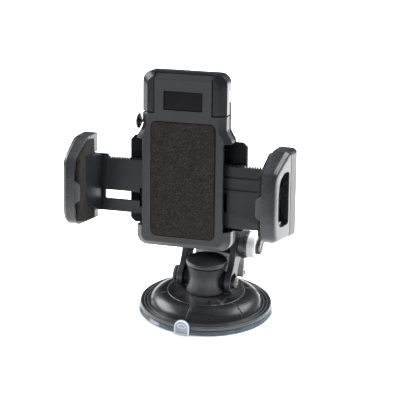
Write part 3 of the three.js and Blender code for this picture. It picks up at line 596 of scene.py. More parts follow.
def suction_pad():
    pad = revolved("suction_pad", [
        (0, 0.0), (PAD_R - 0.5, 0.0), (PAD_R, 0.35), (PAD_R, 0.8), (PAD_R - 0.45, 1.4),
        (FLANGE_R, 2.2), (0, 2.2)], steps=192)
    outline = [(-TAB_HALF, 0.3), (TAB_HALF, 0.3)]
    outline += arc((0, TAB_TOP - TAB_HALF), TAB_HALF, 0, 180, 20)
    tab = prism("tab", outline, -PAD_R - 1.3, -PAD_R - 0.3, "y")
    border = prism("tab_border", outline, -PAD_R - 1.65, -PAD_R - 1.2, "y")
    carve(border, prism("inner", inset(outline, 0.75), -PAD_R - 2, -PAD_R - 1, "y"))
    turns = [i / 24 * math.tau for i in range(24)]
    oval = [(2.7 * math.cos(a), 5.6 + 1.3 * math.sin(a)) for a in turns]
    emboss = prism("tab_oval", oval, -PAD_R - 1.6, -PAD_R - 1.2, "y")
    carve(emboss, prism("inner", inset(oval, 0.45), -PAD_R - 2, -PAD_R - 1, "y"))
    root = block("tab_root", -TAB_HALF, TAB_HALF, -PAD_R - 1.3, -PAD_R + 1.5, 0.02, 1.6)
    fuse(tab, root)
    soften(tab, 0.14, 2, 40)
    keep(tab, BASE, "base", VINYL_TAB, "clear_rubber")
    # The raised border and oval are given pale vinyl: a painted highlight.
    highlight_trim = fuse(border, emboss)
    soften(highlight_trim, 0.1, 2, 40)
    keep(highlight_trim, BASE, "base", CLEAR_PAINTED_HIGHLIGHT, "clear_rubber")
    soften(pad, 0.14, 2, 40)
    keep(pad, BASE, "base", CLEAR, "clear_rubber", "suction_pad")


def dome_angles():
    """Even steps, with close ones beside each of the six seams."""
    angles = [i * 3.0 for i in range(120)]
    for seam in SEAMS:
        for offset in SEAM_RISE:
            angles.append((seam + offset) % 360)
    return sorted(set(angles))


def dome_shoulder():
    """The dome's curve from near the flange up to the platform, as (radius, z)."""
    foot = FLANGE_Z - 1
    return [(PLATFORM_R + (DOME_R - PLATFORM_R) * math.cos(math.radians(a)),
             foot + (PLATFORM_Z - foot) * math.sin(math.radians(a)))
            for a in range(14, 87, 6)]


def housing_profile():
    """Up the rim, in over the flange's rings and the dome, then back underneath."""
    rings = [(FLANGE_R - 0.2, 4.65), (FLANGE_R - 0.6, FLANGE_Z), (38.0, FLANGE_Z), (37.8, 4.55),
             (36.9, 4.5), (36.7, 4.78), (36.4, 4.78), (36.2, 4.5), (34.9, 4.45), (34.7, 4.7),
             (34.4, 4.7), (34.2, 4.45), (DOME_R + 0.3, 4.6)]
    lip = [(PLATFORM_R + 0.35, PLATFORM_Z - 0.02), (PLATFORM_R + 0.15, PLATFORM_Z + 0.14),
           (PLATFORM_R - 0.1, PLATFORM_Z + 0.14), (PLATFORM_R - 0.35, PLATFORM_Z)]
    return [(31, 2.5), (FLANGE_R - 0.3, 2.5), (FLANGE_R, 2.8), (FLANGE_R, 4.3), *rings,
            *dome_shoulder(), *lip, (8.0, PLATFORM_Z), (8.0, 9.3), (22, 9.3), (30.4, 4.6)]


def seam_rise(angle, radius, z):
    on_dome = PLATFORM_R + 0.6 < radius < DOME_R + 0.2 and z > 4.6
    if not on_dome:
        return 0.0
    off = min(((angle - seam + 180) % 360 - 180 for seam in SEAMS), key=abs)
    return SEAM_RISE.get(round(off, 2), SEAM_DEPTH if abs(off) < 0.3 else 0.0)


def base_housing():
    """A dome in six panels over a ringed flange, open underneath."""
    angles = dome_angles()
    bm = bmesh.new()
    grid = []
    for radius, z in housing_profile():
        row = []
        for angle in angles:
            rise = seam_rise(angle, radius, z)
            a = math.radians(angle)
            out = radius + rise * 0.5
            row.append(bm.verts.new((out * math.cos(a), out * math.sin(a), z + rise * 0.8)))
        grid.append(row)
    count = len(angles)
    for low, high in zip(grid, grid[1:] + grid[:1]):
        for i in range(count):
            j = (i + 1) % count
            bm.faces.new((low[i], low[j], high[j], high[i]))
    housing = make("base_housing", bm)
    pin = LEVER_PIN.y
    tools = [block("slot", -LIFT_SLOT, LIFT_SLOT, pin - 2.8, pin + 2.8, 2, 15)]
    for turn in (-150, -115, -62, -35, 25, 62, 115, 150):
        at = around(17.6, turn - 90)
        tools.append(rod("dimple", "z", 0.8, PLATFORM_Z - 0.3, 12, at, 16))
    carve(housing, *tools)
    keep(housing, BASE, "base", SMOOTH, "satin_black_plastic", "base_housing", angle=24)


def around(radius, degrees):
    a = math.radians(degrees)
    return radius * math.cos(a), radius * math.sin(a)


def circle(radius, z):
    turns = [i / 144 * math.tau for i in range(144)]
    return [(radius * math.cos(a), radius * math.sin(a), z) for a in turns]


def base_beads():
    """Painted highlights in a light material along the housing's edges: nubs, rings, the cover's
    edge and a line along each seam.
    """
    beads = []
    for number, turn in enumerate((-33, 29, 33, 150, 210)):
        at = around(PLATFORM_R + 0.2, turn - 90)
        low, high = PLATFORM_Z - 0.6, PLATFORM_Z + 0.35
        beads.append(rod(f"platform_nub_{number}", "z", 0.62, low, high, at, 24, 0.3))
    top = PLATFORM_Z + 0.02
    for name, radius, z in (("platform_bead", PLATFORM_R, top),
                            ("outer_bead", FLANGE_R - 0.35, FLANGE_Z - 0.12),
                            ("flange_bead", 36.55, 4.72), ("dome_bead", 34.55, 4.66)):
        beads.append(tube(name, circle(radius, z), 0.17, True))
    beads.append(tube("cover_bead", [(15.1, -16.9, top), (15.1, 15.5, top)], 0.16))
    for k, seam in enumerate(SEAMS):
        line = [(*around(radius, seam - 1.1), z) for radius, z in dome_shoulder()]
        beads.append(tube(f"seam_bead_{k}", line, 0.15))
    for piece in beads:
        keep(piece, BASE, "base", PAINTED_HIGHLIGHT, "satin_black_plastic")


def suction_lever():
    pin_y, pin_z = LEVER_PIN.y, LEVER_PIN.z
    half, tip = LEVER_HALF, LEVER_TIP
    profile = arc((pin_y, pin_z), 2.7, 180, 360, 16) + [
        (pin_y + 1.6, pin_z + 5), (pin_y + 1.6, tip - 3), (pin_y + 2.8, tip), (pin_y + 0.6, tip),
        (pin_y - 1.5, tip - 4), (pin_y - 1.5, pin_z + 5)]
    lever = prism("suction_lever", profile, -half, half, "x")
    tools = [block("slot", -LIFT_SLOT, LIFT_SLOT, pin_y - 5, pin_y + 5, 5, pin_z + 3.4),
             rod("bore", "x", 1.5, -half - 1, half + 1, (pin_y, pin_z), 32)]
    for x in (-9.5, -5.5, -1.5, 2.5, 6.5, 10.5):
        tools.append(block("rib_gap", x - 1.2, x + 1.2, pin_y - 3, pin_y - 0.9,
                           pin_z + 7, tip - 4.5))
    carve(lever, *tools)
    soften(lever, 0.35)
    keep(lever, BASE, "lever", GREY, "grey_plastic", "suction_lever")


# ---------- turret ----------
POST_FOOT, POST_TOP, POST_R, CAP_R = 11.6, 28.3, 11.9, 12.2
EAR_R, EAR_HALF = 5.5, 12.7
PIVOT_BORE = 2.55


def turret():
    profile = [(0, 8.9), (7.7, 8.9), (7.7, POST_FOOT), (POST_R - 0.6, POST_FOOT),
               (POST_R, POST_FOOT + 0.6)]
    for i in range(1, 24):
        t = i / 24
        z = POST_FOOT + 1.6 + (POST_TOP - POST_FOOT - 1.6) * t
        profile.append((POST_R - 1.15 * math.sin(math.pi * t), z))
    profile += [(POST_R, POST_TOP - 0.2), (POST_R - 0.3, POST_TOP), (9.5, POST_TOP),
                (9.5, 24.7), (0, 24.7)]
    post = revolved("turret_post", profile, steps=160)
    pivot = (0, LOW_PIVOT.z / MM)
    ears = rod("post_ears", "x", EAR_R, -EAR_HALF, EAR_HALF, pivot, 96, 0.4)
    carve(ears, rod("core", "x", PIVOT_BORE, -14, 14, pivot, 40),
          rod("inner", "z", POST_R - 1.6, 0, 40, steps=96))
    # The ears take the darkest black rather than the post's satin black: painted shade where the
    # fork arms shadow them.
    keep(ears, TURRET, "turret", DEEP, "satin_black_plastic")
    carve(post, rod("bolt_hole", "x", PIVOT_BORE, -14, 14, pivot, 40),
          rod("screw_hole", "z", 2.1, 8, 16.2, steps=32))
    keep(post, TURRET, "turret", POST_BLACK, "satin_black_plastic", "turret_post", angle=40)
    top = POST_TOP
    cap = revolved("post_cap", [
        (0, top - 3.3), (9.2, top - 3.3), (9.2, top + 0.3), (CAP_R - 0.5, top + 0.3),
        (CAP_R - 0.15, top + 0.45), (CAP_R, top + 0.8), (CAP_R, top + 1.9),
        (CAP_R - 0.12, top + 2.3),
        (CAP_R - 0.45, top + 2.6), (CAP_R - 0.9, top + 2.72), (8, top + 3.05), (4, top + 3.25),
        (0, top + 3.3)], steps=160)
    keep(cap, TURRET, "turret", CAP_BLACK, "deep_black_plastic", "post_cap", angle=50)
    # A light bead round the cap's top edge: a painted highlight.
    rim = tube("cap_bead", circle(CAP_R - 0.42, top + 2.55), 0.16, True)
    keep(rim, TURRET, "turret", PAINTED_HIGHLIGHT, "deep_black_plastic")


# ---------- fork ----------
FORK_IN, FORK_OUT = 13.0, 16.6
BOLT_R = 2.4
BOLT_HOLE = BOLT_R + 0.15


def fork_arm(side):
    x0, x1 = sorted((side * FORK_IN, side * FORK_OUT))
    top = FORK_LENGTH
    outline = (arc((0, 0), 6.8, 180, 360, 28) + [(5.6, 5), (5.2, 9)]
               + spline([(5.6, 12.5), (6.6, 16.8), (8.6, 19), (8.6, 24), (7.3, 26.4)], 4)
               + arc((0, top), 8, 20, 180, 24)
               + spline([(-7.4, 18.5), (-5.6, 12), (-5.2, 7), (-6.2, 2.6)], 5))
    arm = prism("fork_arm", outline, x0, x1, "x")
    bores = [rod("bore", "x", BOLT_HOLE, x0 - 1, x1 + 1, at, 40) for at in ((0, 0), (0, top))]
    return carve(arm, *bores)


def hexagon(name, along, radius, low, high, centre=(0, 0)):
    outline = [(centre[0] + u, centre[1] + v) for u, v in arc((0, 0), radius, 0, 300, 5)]
    return prism(name, outline, low, high, along)


def fork():
    web = block("web", -FORK_IN - 0.5, FORK_IN + 0.5, 8, 11, 18, 22.5)
    body = fuse(fork_arm(-1), fork_arm(1), web)
    carve(body,
          rod("nut_seat", "x", 5.0, 15.2, FORK_OUT + 1, (0, 0), 64),
          rod("upper_seat", "x", 5.0, -FORK_OUT - 1, -FORK_OUT + 1.6, (0, FORK_LENGTH), 48))
    soften(body, 0.45, 3, 40)
    body.name = "fork"
    keep(body, FORK, "fork_link", SATIN, "satin_black_plastic", "fork", angle=35)


def knob_outline(radius, flutes, depth):
    outline = []
    for i in range(flutes * 12):
        a = 2 * math.pi * i / (flutes * 12)
        dip = depth * max(0.0, math.cos(flutes * a)) ** 3
        outline.append(((radius - dip) * math.cos(a), (radius - dip) * math.sin(a)))
    return outline


def fork_hardware():
    full = knob_outline(5.0, 10, 0.45)
    rings = [[(x, u * share, v * share) for u, v in full]
             for x, share in ((-17.1, 0.82), (-17.6, 0.84), (-17.7, 0.97), (-17.95, 1.0),
                              (-19.3, 1.0), (-19.65, 0.965), (-19.8, 0.88))]
    knob = lofted("lower_knob", rings)
    carve(knob, rod("bore", "x", 2.7, -18.9, -16, steps=32),
          rod("dish", "x", 3.0, -21, -19.5, steps=40))
    # The knob takes the lighter post black rather than deep black: a painted highlight at its end.
    keep(knob, FORK, "knob", POST_BLACK, "deep_black_plastic", "lower_knob", angle=28)
    bolt = rod("lower_bolt", "x", BOLT_R, -18.6, 18.9, steps=48, edge=0.3)
    carve(bolt, rod("socket", "x", 0.8, 17.4, 19.5, steps=24))
    keep(bolt, FORK, "fork_link", OLD_STEEL, "steel", "lower_bolt")
    round_nut = rod("lower_nut", "x", 3.8, 15.5, 18.6, steps=64, edge=0.4)
    carve(round_nut, rod("bore", "x", BOLT_HOLE, 14, 20, steps=40))
    keep(round_nut, FORK, "fork_link", OLD_STEEL, "steel", "lower_nut")
    top = (0, FORK_LENGTH)
    nut = hexagon("upper_nut", "x", 4.6, -FORK_OUT - 1.3, -FORK_OUT + 1.3, top)
    carve(nut, rod("bore", "x", BOLT_HOLE, -20, -14, top, 40))
    soften(nut, 0.3)
    keep(nut, FORK, "fork_link", STEEL, "steel", "upper_nut")
    barrel = rod("upper_bolt", "x", BOLT_R, -18.6, 28, top, 48, 0.2)
    carve(barrel, rod("hollow", "x", 1.5, 20, 29, top, 40))
    keep(barrel, FORK, "fork_link", STEEL, "steel", "upper_bolt")


# ---------- tilt clamp ----------
def sleeve(name, profile, material, slot, *tools):
    """A ring on the upper bolt, from a profile of (radius, x)."""
    low, high = profile[0][1], profile[-1][1]
    closed = [(BOLT_HOLE, low), *profile, (BOLT_HOLE, high), (BOLT_HOLE, low)]
    ring = revolved(name, closed, "x")
    if tools:
        carve(ring, *tools)
    keep(ring, HEAD, "fork_link", material, slot, name, angle=40)


def clamp():
    notches = []
    for i in range(16):
        a = 2 * math.pi * i / 16
        at = (8.2 * math.cos(a), 8.2 * math.sin(a))
        notches.append(rod("notch", "x", 0.5, 20.6, 22.2, at, 12))
    collar = [(7.7, 17.1), (8.1, 17.3), (8.3, 17.8), (8.3, 20.9), (8.15, 21.5), (7.8, 21.8)]
    sleeve("clamp_collar", collar, SMOOTH, "deep_black_plastic", *notches)
    barrel = [(7.3, 22.1), (7.6, 22.25), (7.7, 22.7), (7.65, 24.6), (7.4, 26.0), (7.0, 26.8),
              (6.3, 27.2)]
    sleeve("clamp_sleeve", barrel, WHITE, "white_plastic")
    ring = [(5.15, 27.5), (5.3, 27.65), (5.3, 27.95), (5.15, 28.1)]
    sleeve("clamp_ring", ring, SMOOTH, "deep_black_plastic")
    head = revolved("clamp_screw", [
        (0, 21), (1.2, 21), (1.2, 28.4), (4.75, 28.4), (4.9, 28.55), (4.9, 29.3), (4.75, 29.55),
        (4.45, 29.68), (0, 29.7)], "x")
    slot_cut = block("coin_slot", 29.15, 31, -6, 6, -0.5, 0.5)
    slot_cut.data.transform(Matrix.Rotation(math.radians(40), 4, "X"))
    carve(head, slot_cut)
    keep(head, HEAD, "clamp", OLD_STEEL, "steel", "clamp_screw", angle=40)


# ---------- head ----------
HEAD_REACH, HEAD_RISE = 62.92, 33.91


def tilt_head():
    face = -HEAD_REACH
    hub = rod("tilt_head", "x", 6.8, -FORK_IN + 0.3, FORK_IN - 0.3, steps=64, edge=0.6)
    at_disc = face + 22.5
    neck = prism("neck", [
        (-5.4, -3.9), (4.2, 5.2), (-28, HEAD_RISE + 7), (at_disc, HEAD_RISE + 10),
        (at_disc, HEAD_RISE - 10), (-30, 19)], -6.5, 6.5, "x")
    disc = rod("disc", "y", 13, face + 18, face + 23, (0, HEAD_RISE), 96, 0.8)
    fuse(hub, neck, disc)
    carve(hub, rod("bore", "x", BOLT_HOLE, -14, 14, steps=40),
          rod("screw_hole", "y", 2.3, face + 17, face + 23.3, (0, HEAD_RISE), 32))
    soften(hub, 0.5, 3, 35)
    keep(hub, HEAD, "head", SATIN, "satin_black_plastic", "tilt_head")


# ---------- holder body ----------
BODY_LOW_HALF, BODY_HIGH_HALF = 27.5, 24.3
BODY_BOTTOM, BODY_TOP = -23.8, 73.2
FLARE_LOW, FLARE_HIGH = 36.8, 44.5
BEVEL_SIDE, BEVEL_END, BEVEL_DEPTH = 3.7, 2.8, 2.8
FRONT_DEPTH, BODY_DEPTH, BACK_TOP = 8.0, 12.5, 58.3
WALL, CAVITY_TOP = 2.2, 48.6
TONGUE_HALF, TONGUE_BOTTOM, TONGUE_PLATE = 16.5, 51.3, 3.2
SLIDER_TOP, SLIDER_DEEP_Z, SLIDER_DEPTH = 74.4, 64.7, 11.3
ARM_WINDOW = (-12.5, 36.5)
WINDOW_X = 23.5
WING_HALF, WING_BOTTOM, WING_TOP, WING_FRONT = 34.0, -13.3, 36.5, 9.6
BUTTON_X, BUTTON_AT = -27.2, (3.9, 45.8)
FOAM_BOX, FOAM_CORNER = (-18.1, 18.7, -17.1, 46.7), 3.2
SCREW_X, SCREW_ZS = 20.5, (-18, 32.5)
CLAW_X, CLAW_Z = 9, 10
PAST_SIDE, PAST_TOP = 30, 80


def body_outline(side=0.0, end=0.0, top=BODY_TOP):
    corner = 6 - min(side, 2.5)
    low, high = BODY_LOW_HALF - side, BODY_HIGH_HALF - side
    right = arc((low - corner, BODY_BOTTOM + end + corner), corner, -90, 0, 10)
    for i in range(21):
        t = i / 20
        ease = t * t * (3 - 2 * t)
        right.append((low + (high - low) * ease, FLARE_LOW + (FLARE_HIGH - FLARE_LOW) * t))
    right += arc((high - corner, top - end - corner), corner, 0, 90, 10)
    return right + [(-x, z) for x, z in reversed(right)]


def body_solid(name, stations):
    return lofted(name, [[(x, y, z) for x, z in outline] for y, outline in stations])


def screw_places():
    return [(x, z) for x in (-SCREW_X, SCREW_X) for z in SCREW_ZS]


def front_shell():
    shell = body_solid("front_shell", [
        (0, body_outline(BEVEL_SIDE, BEVEL_END)), (BEVEL_DEPTH, body_outline()),
        (FRONT_DEPTH, body_outline())])
    deep = FRONT_DEPTH + 1
    cavity = prism("cavity", body_outline(WALL, WALL, CAVITY_TOP + WALL), WALL, deep, "y")
    tools = [cavity, block("tongue_hollow", -14.7, 14.7, WALL, deep, 40, 62.5),
             block("left_slot", -PAST_SIDE, -TONGUE_HALF, -1, deep, TONGUE_BOTTOM, PAST_TOP),
             block("right_slot", TONGUE_HALF, PAST_SIDE, -1, deep, TONGUE_BOTTOM, PAST_TOP),
             block("tongue_top", -18, 18, TONGUE_PLATE, deep, SLIDER_DEEP_Z, PAST_TOP),
             block("left_window", -PAST_SIDE, -WINDOW_X, -1, deep, *ARM_WINDOW),
             block("right_window", WINDOW_X, PAST_SIDE, -1, deep, *ARM_WINDOW),
             block("panel_recess", -11.1, 11.1, -1, 1.5, 53.5, 63.9),
             prism("pad_recess", inset(rounded(*FOAM_BOX, FOAM_CORNER, 12), -0.3), -1, 0.9, "y"),
             block("left_rail", -22.3, -17.2, 5.3, deep, 38, TONGUE_BOTTOM + 1),
             block("right_rail", 17.2, 22.3, 5.3, deep, 38, TONGUE_BOTTOM + 1),
             rod("stem_hole", "x", 1.6, -26, -20, BUTTON_AT, 32)]
    carve(shell, *tools)
    soften(shell, 0.32, 3, 26)
    keep(shell, HOLDER, "holder", SATIN, "satin_black_plastic", "front_shell", angle=26)


def back_shell():
    front = FRONT_DEPTH + 0.3
    shell = body_solid("back_shell", [
        (front, body_outline()), (BODY_DEPTH - 1.2, body_outline()),
        (BODY_DEPTH, body_outline(1.2, 1.2))])
    carve(shell, block("above", -40, 40, 0, 20, BACK_TOP, PAST_TOP))
    wings = clipped(-WING_HALF, WING_HALF, WING_BOTTOM, WING_TOP, 2.5)
    fuse(shell, prism("wings", wings, WING_FRONT, BODY_DEPTH - 0.1, "y"))
    tools = [prism("pocket", body_outline(WALL, WALL, CAVITY_TOP + WALL), front - 1, 10.3, "y"),
             block("left_gap", -PAST_SIDE, -WINDOW_X, 7, WING_FRONT, *ARM_WINDOW),
             block("right_gap", WINDOW_X, PAST_SIDE, 7, WING_FRONT, *ARM_WINDOW)]
    for x, z in screw_places():
        tools.append(rod("sink", "y", 2.6, 11, 13, (x, z), 32))
    for x in (-CLAW_X, CLAW_X):
        for z in (-CLAW_Z, CLAW_Z):
            tools.append(block("claw_hole", x - 2.1, x + 2.1, 9, 14, z - 1.9, z + 1.9))
    for z in (26, 30, 34, 38, 42, 46):
        tools.append(block("vent", -12, 12, 12.1, 13, z, z + 1.2))
    carve(shell, *tools)
    soften(shell, 0.3, 2, 30)
    keep(shell, HOLDER, "holder", DEEP, "deep_black_plastic", "back_shell", angle=28)


def slider_outline(half, top):
    bottom = TONGUE_BOTTOM + 0.5
    right = [(half, bottom)] + arc((half - 6, top - 6), 6, 0, 90, 12)
    return right + [(-x, z) for x, z in reversed(right)]


def top_slider():
    outer = body_solid("top_slider", [
        (0.3, slider_outline(BODY_HIGH_HALF - BEVEL_SIDE, SLIDER_TOP - 2.5)),
        (3.1, slider_outline(BODY_HIGH_HALF, SLIDER_TOP)),
        (SLIDER_DEPTH, slider_outline(BODY_HIGH_HALF, SLIDER_TOP))])
    inside = TONGUE_HALF + 0.4
    carve(outer,
          block("tongue_way", -inside, inside, -1, TONGUE_PLATE + 0.3, 40, PAST_TOP),
          block("mouth", -inside, inside, -1, 14, 40, SLIDER_DEEP_Z + 0.3),
          block("step", -PAST_SIDE, PAST_SIDE, FRONT_DEPTH, 14, 40, SLIDER_DEEP_Z))
    fuse(outer, *(block("rail", x0, x1, 5.7, 7.8, 38.5, TONGUE_BOTTOM + 1.5)
                  for x0, x1 in ((-21.6, -17.8), (17.8, 21.6))))
    soften(outer, 0.3, 3, 26)
    keep(outer, HOLDER, "slider", SLIDER_BLACK, "satin_black_plastic", "top_slider", angle=26)


def window_panel():
    panel = prism("window_panel", rounded(-10.8, 10.8, 53.8, 63.6, 0.4, 4), 0.6, 1.2, "y")
    soften(panel, 0.12, 2)
    keep(panel, HOLDER, "holder", PANEL, "deep_black_plastic", "window_panel")


def release_button():
    x = BUTTON_X
    button = revolved("release_button", [
        (0, x + 0.45), (2.2, x + 0.4), (3.3, x + 0.12), (3.7, x), (4.05, x + 0.06),
        (4.25, x + 0.3), (4.3, x + 0.6), (4.1, x + 0.9), (3.6, x + 1.0), (2.2, x + 1.0),
        (2.2, x + 1.5), (0.9, x + 1.5),
        (0.9, -21.6), (1.5, -21.6), (1.5, -21.0), (0.9, -21.0), (0.9, -11.4), (0, -11.4)],
        "x", BUTTON_AT, 96)
    keep(button, HOLDER, "button", JAW_BLACK, "deep_black_plastic", "release_button", angle=35)


# ---------- foam ----------
def foam_piece(name, outline, low, high, along, swell, fineness):
    """A die-cut foam sheet: remeshed, rounded at its cut edge, its faces gently uneven."""
    pad = prism(name, outline, low, high, along)
    remesh = pad.modifiers.new("remesh", "REMESH")
    remesh.mode = "VOXEL"
    remesh.voxel_size = fineness
    relax = pad.modifiers.new("relax", "SMOOTH")
    relax.factor = 0.5
    relax.iterations = 4
    apply_all(pad)
    axis = "xyz".index(along)
    middle = (low + high) / 2
    for vertex in pad.data.vertices:
        side = 1 if vertex.co[axis] > middle else -1
        unevenness = noise.noise(vertex.co * 1.7) * 0.05 + noise.noise(vertex.co * 0.16) * swell
        vertex.co[axis] += side * unevenness
    return pad


def face_pad():
    outline = rounded(*FOAM_BOX, FOAM_CORNER, 10)
    pad = foam_piece("foam_pad", outline, -0.42, 0.62, "y", 0.05, 0.33)
    keep(pad, HOLDER, "holder", FOAM, "foam_rubber", "foam_pad", angle=60)


# ---------- arms ----------
PINION_Z, PINION_R, PINION_TEETH = 2.9, 4.0, 10
RACK_PITCH = 2 * math.pi * PINION_R / PINION_TEETH
ARM_TOP, TOOTH, TOOTH_PITCH = 23.4, 1.2, 1.5
ARM_X, ROOT_X, ROOT_FRONT = 48.0, 58.0, -14.6
RIM_X, PAD_FACE_X = 52.9, 50.7
ARM_END_TOP, ARM_END_X = 25.8, 44.8
ARM_STOP = 7.2
LAYERS = {"left": (3.2, 5.3), "right": (5.7, 7.9)}
# the rack's side of the way stands this far from the pinion's axis, and the plain side this far
RACK_ROOT, WAY_SIDE = 5.1, 5.6


def ratchet(start, stop, base):
    points = []
    for i in range(int((stop - start) / TOOTH_PITCH)):
        x = start + i * TOOTH_PITCH
        points += [(x, base), (x + 0.25, base + TOOTH), (x + 0.72, base + TOOTH), (x + 0.82, base)]
    return points


def rack_points(start, stop, facing):
    tip, root = PINION_Z + facing * 3.35, PINION_Z + facing * RACK_ROOT
    first = math.ceil((start - RACK_PITCH / 2) / RACK_PITCH)
    last = math.floor((stop - RACK_PITCH / 2) / RACK_PITCH)
    points = []
    for i in range(first, last + 1):
        x = (i + 0.5) * RACK_PITCH
        points += [(x - 0.68, root), (x - 0.28, tip), (x + 0.28, tip), (x + 0.68, root)]
    return points


def root_plan(back, margin):
    return [(-ROOT_X - margin, -11.5 - margin), (-RIM_X, ROOT_FRONT - margin),
            (-PAD_FACE_X, ROOT_FRONT - margin), (-48.9 + margin, -6),
            (-ARM_X + margin, back), (-ROOT_X - margin, back)]


def root_profile(back, margin):
    return [(ROOT_FRONT - margin, 27 + margin), (ROOT_FRONT - margin, 3.2), (-13.6, 0.8 - margin),
            (-3, -5.1 - margin), (3.2, -6.5 - margin), (back, -6.5 - margin),
            (back, ARM_END_TOP + margin), (0, ARM_END_TOP + margin)]


def root_block(name, back, margin=0.0):
    """The block at an arm's end that carries the jaw."""
    plan = prism(name, root_plan(back, margin), -10, 30, "z")
    return crossed(plan, prism("side_view", root_profile(back, margin), -60, -45, "x"))


def arm(side):
    """One toothed arm with the block that carries its jaw, drawn as the left one."""
    low, high = LAYERS[side]
    bottom = -6.5 if side == "left" else -11.0
    facing = 1 if side == "left" else -1
    way_end = -26.0 if side == "left" else -24.0
    outline = [(-ARM_X - 1, bottom), (ARM_STOP, bottom), (ARM_STOP, ARM_TOP)]
    outline += list(reversed(ratchet(-44.6, ARM_STOP - 1, ARM_TOP)))
    outline += [(-ARM_END_X, ARM_TOP), (-ARM_END_X, ARM_END_TOP), (-ARM_X - 1, ARM_END_TOP)]
    plate = prism(f"{side}_arm", outline, low, high, "y")
    near, far = PINION_Z + facing * RACK_ROOT, PINION_Z - facing * WAY_SIDE
    way = [(way_end, near), *rack_points(way_end + 2, 4.2, facing),
           (5.2, near), (5.2, far), (way_end, far)]
    tools = [prism("rack_way", way, low - 1, high + 1, "y")]
    if side == "left":
        tools.append(block("slot", -46.6, -25, low - 1, high + 1, 0.4, 5.4))
    else:
        tools += [block("groove", -46, 8, low - 1, low + 0.6, z, z + 1.3) for z in (17.2, 10.4)]
    carve(plate, *tools)
    fuse(plate, root_block("root", high))
    soften(plate, 0.12, 2, 40)
    handed(plate, side)
    keep(plate, HOLDER, f"{side}_jaw", ARM_BLACK, "satin_black_plastic", f"{side}_arm", angle=30)


# ---------- jaws, drawn as the left one ----------
JAW_SEAM, JAW_BACK, NOSE = -3.8, 7.5, -23.0
JAW_TOP, JAW_BOTTOM = 36.8, -11.8
SIDE_SLOPE = 0.10
PAD_BACK = -2.5
JAW_SCREW_X, JAW_SCREW_ZS = -58, (29.3, -9.2)


def jaw_outline(back=JAW_BACK):
    nose = spline([(-5, JAW_TOP), (-8.5, 35.6), (-14.9, 32.6), (-21.3, 29.3), (-24, 27),
                   (-25.3, 23.5), (-25.9, 14), (-26, 3), (-25.2, -4), (-23.6, -7.5),
                   (-21, -9.6), (-18, -10.4)], 5)
    return [(back, JAW_TOP)] + nose + [(back, JAW_BOTTOM)]


def jaw_solid(name):
    """The outer side slopes out towards the back, with a bevel all round it."""
    outline = jaw_outline()
    # how far out each ring stands, how far in it is drawn, and its share of the slope
    stations = [(0.0, 0.0, 0.0), (5.4, 0.0, 0.8), (7.2, 1.2, 1.0), (7.9, 3.0, 1.0)]
    rings = []
    for out, shrink, slope in stations:
        ring = inset(outline, shrink) if shrink else outline
        rings.append([(-(RIM_X + out + slope * SIDE_SLOPE * (y - NOSE)), y, z) for y, z in ring])
    solid = lofted(name, rings)
    return carve(solid, block("past_back", -80, -40, JAW_BACK, 20, -30, 60))


def root_pocket():
    return root_block("pocket", JAW_BACK + 1, 0.3)


def finger_recess():
    curve = spline([(-13, 26.5), (-18.4, 23.4), (-20.2, 18), (-20.7, 10), (-20.2, 2),
                    (-18, -1.2), (-15, -2)])
    outline = [(-7.4, -2), (-6.2, -0.8), (-6.2, 25.3), (-7.4, 26.5)] + curve
    return prism("finger_recess", outline, -80, -57.3, "x")


def screw_bores():
    return [rod("screw_hole", "y", 1.3, -8, 12, (JAW_SCREW_X, z), 24) for z in JAW_SCREW_ZS]


def jaw_shell(side):
    shell = jaw_solid(f"{side}_jaw_shell")
    carve(shell, block("behind", -80, -40, JAW_SEAM, 20, -30, 60), root_pocket(), finger_recess(),
          *screw_bores())
    lip = [(-54.6, 2.5), (-RIM_X, 2.5), (-49.9, 5.0), (-49.9, 13.5), (-RIM_X, 16), (-54.6, 16)]
    fuse(shell, prism("lip", lip, -25.7, -24.8, "y"))
    soften(shell, 0.3, 3, 26)
    # A light bead along the jaw's rim beside the foam: a painted highlight on the rim's edge.
    edge = [(-RIM_X - 0.12, y, z) for y, z in inset(jaw_outline(), 1.25)[1:-1]]
    bead = tube(f"{side}_rim_bead", edge, 0.17)
    step = block(f"{side}_recess_step", -60.2, -57.2, -18.0, -12.0, -2.2, 0.4)
    soften(step, 0.25, 2)
    for piece in (shell, step, bead):
        handed(piece, side)
    body, slot = f"{side}_jaw", "satin_black_plastic"
    keep(shell, HOLDER, body, JAW_BLACK, slot, f"{side}_jaw_shell", angle=26)
    keep(step, HOLDER, body, JAW_BLACK, slot)
    keep(bead, HOLDER, body, PAINTED_HIGHLIGHT, slot)


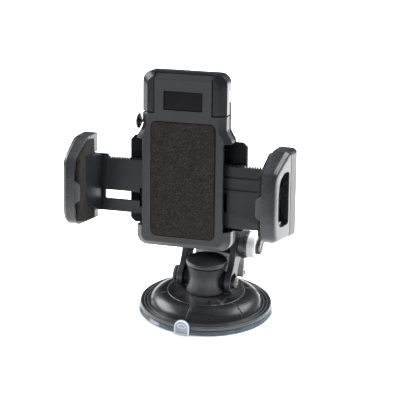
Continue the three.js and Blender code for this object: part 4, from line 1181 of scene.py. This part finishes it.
def jaw_cover(side):
    cover = jaw_solid(f"{side}_jaw_cover")
    carve(cover, block("before", -80, -40, -60, JAW_SEAM + 0.35, -30, 60), root_pocket(),
          *screw_bores())
    soften(cover, 0.3, 3, 26)
    handed(cover, side)
    keep(cover, HOLDER, f"{side}_jaw", COVER_BLACK, "satin_black_plastic", f"{side}_jaw_cover",
         angle=26)


def jaw_pad(side):
    outline = inset(jaw_outline(PAD_BACK + 1.6), 1.6)
    pad = foam_piece(f"{side}_jaw_pad", outline, -RIM_X + 0.3, -PAD_FACE_X, "x", 0.08, 0.36)
    carve(pad, root_pocket())
    handed(pad, side)
    keep(pad, HOLDER, f"{side}_jaw", FOAM, "foam_rubber", f"{side}_jaw_pad", angle=60)


# ---------- carried-over CAD pieces ----------
CARRIED = {
    STEEL: ["lifter_spring", "lever_pin", "turret_retainer", "turret_screw", "swivel_screw",
            "swivel_washer", "pinion_axle", "pinion_spring", "pawl_pin", "button_spring",
            "body_screw_1", "body_screw_2", "body_screw_3", "body_screw_4", "left_jaw_screw_1",
            "left_jaw_screw_2", "right_jaw_screw_1", "right_jaw_screw_2"],
    WHITE: ["pinion", "ratchet_pawl"],
    SMOOTH: ["lifter_plate"],
    SATIN: ["claw_plate"],
}


def dress_carried():
    """CAD pieces whose shape is right: merged facets, rounded edges and a real material."""
    for material, names in CARRIED.items():
        for name in names:
            obj = frame["nodes"][name]
            obj.data.materials.clear()
            obj.data.materials.append(material)
            plane = obj.modifiers.new("flat", "DECIMATE")
            plane.decimate_type = "DISSOLVE"
            plane.angle_limit = math.radians(1)
            bevel = obj.modifiers.new("bevel", "BEVEL")
            bevel.width = 0.15 * MM
            bevel.segments = 2
            bevel.angle_limit = math.radians(35)
            obj.data.shade_smooth()
            obj.data.set_sharp_from_angle(angle=math.radians(35))


add_camera()
add_stage()
suction_pad()
base_housing()
base_beads()
suction_lever()
turret()
fork()
fork_hardware()
clamp()
tilt_head()
front_shell()
back_shell()
top_slider()
window_panel()
release_button()
face_pad()
for hand in ("left", "right"):
    arm(hand)
    jaw_shell(hand)
    jaw_cover(hand)
    jaw_pad(hand)
dress_carried()

bpy.context.view_layer.update()
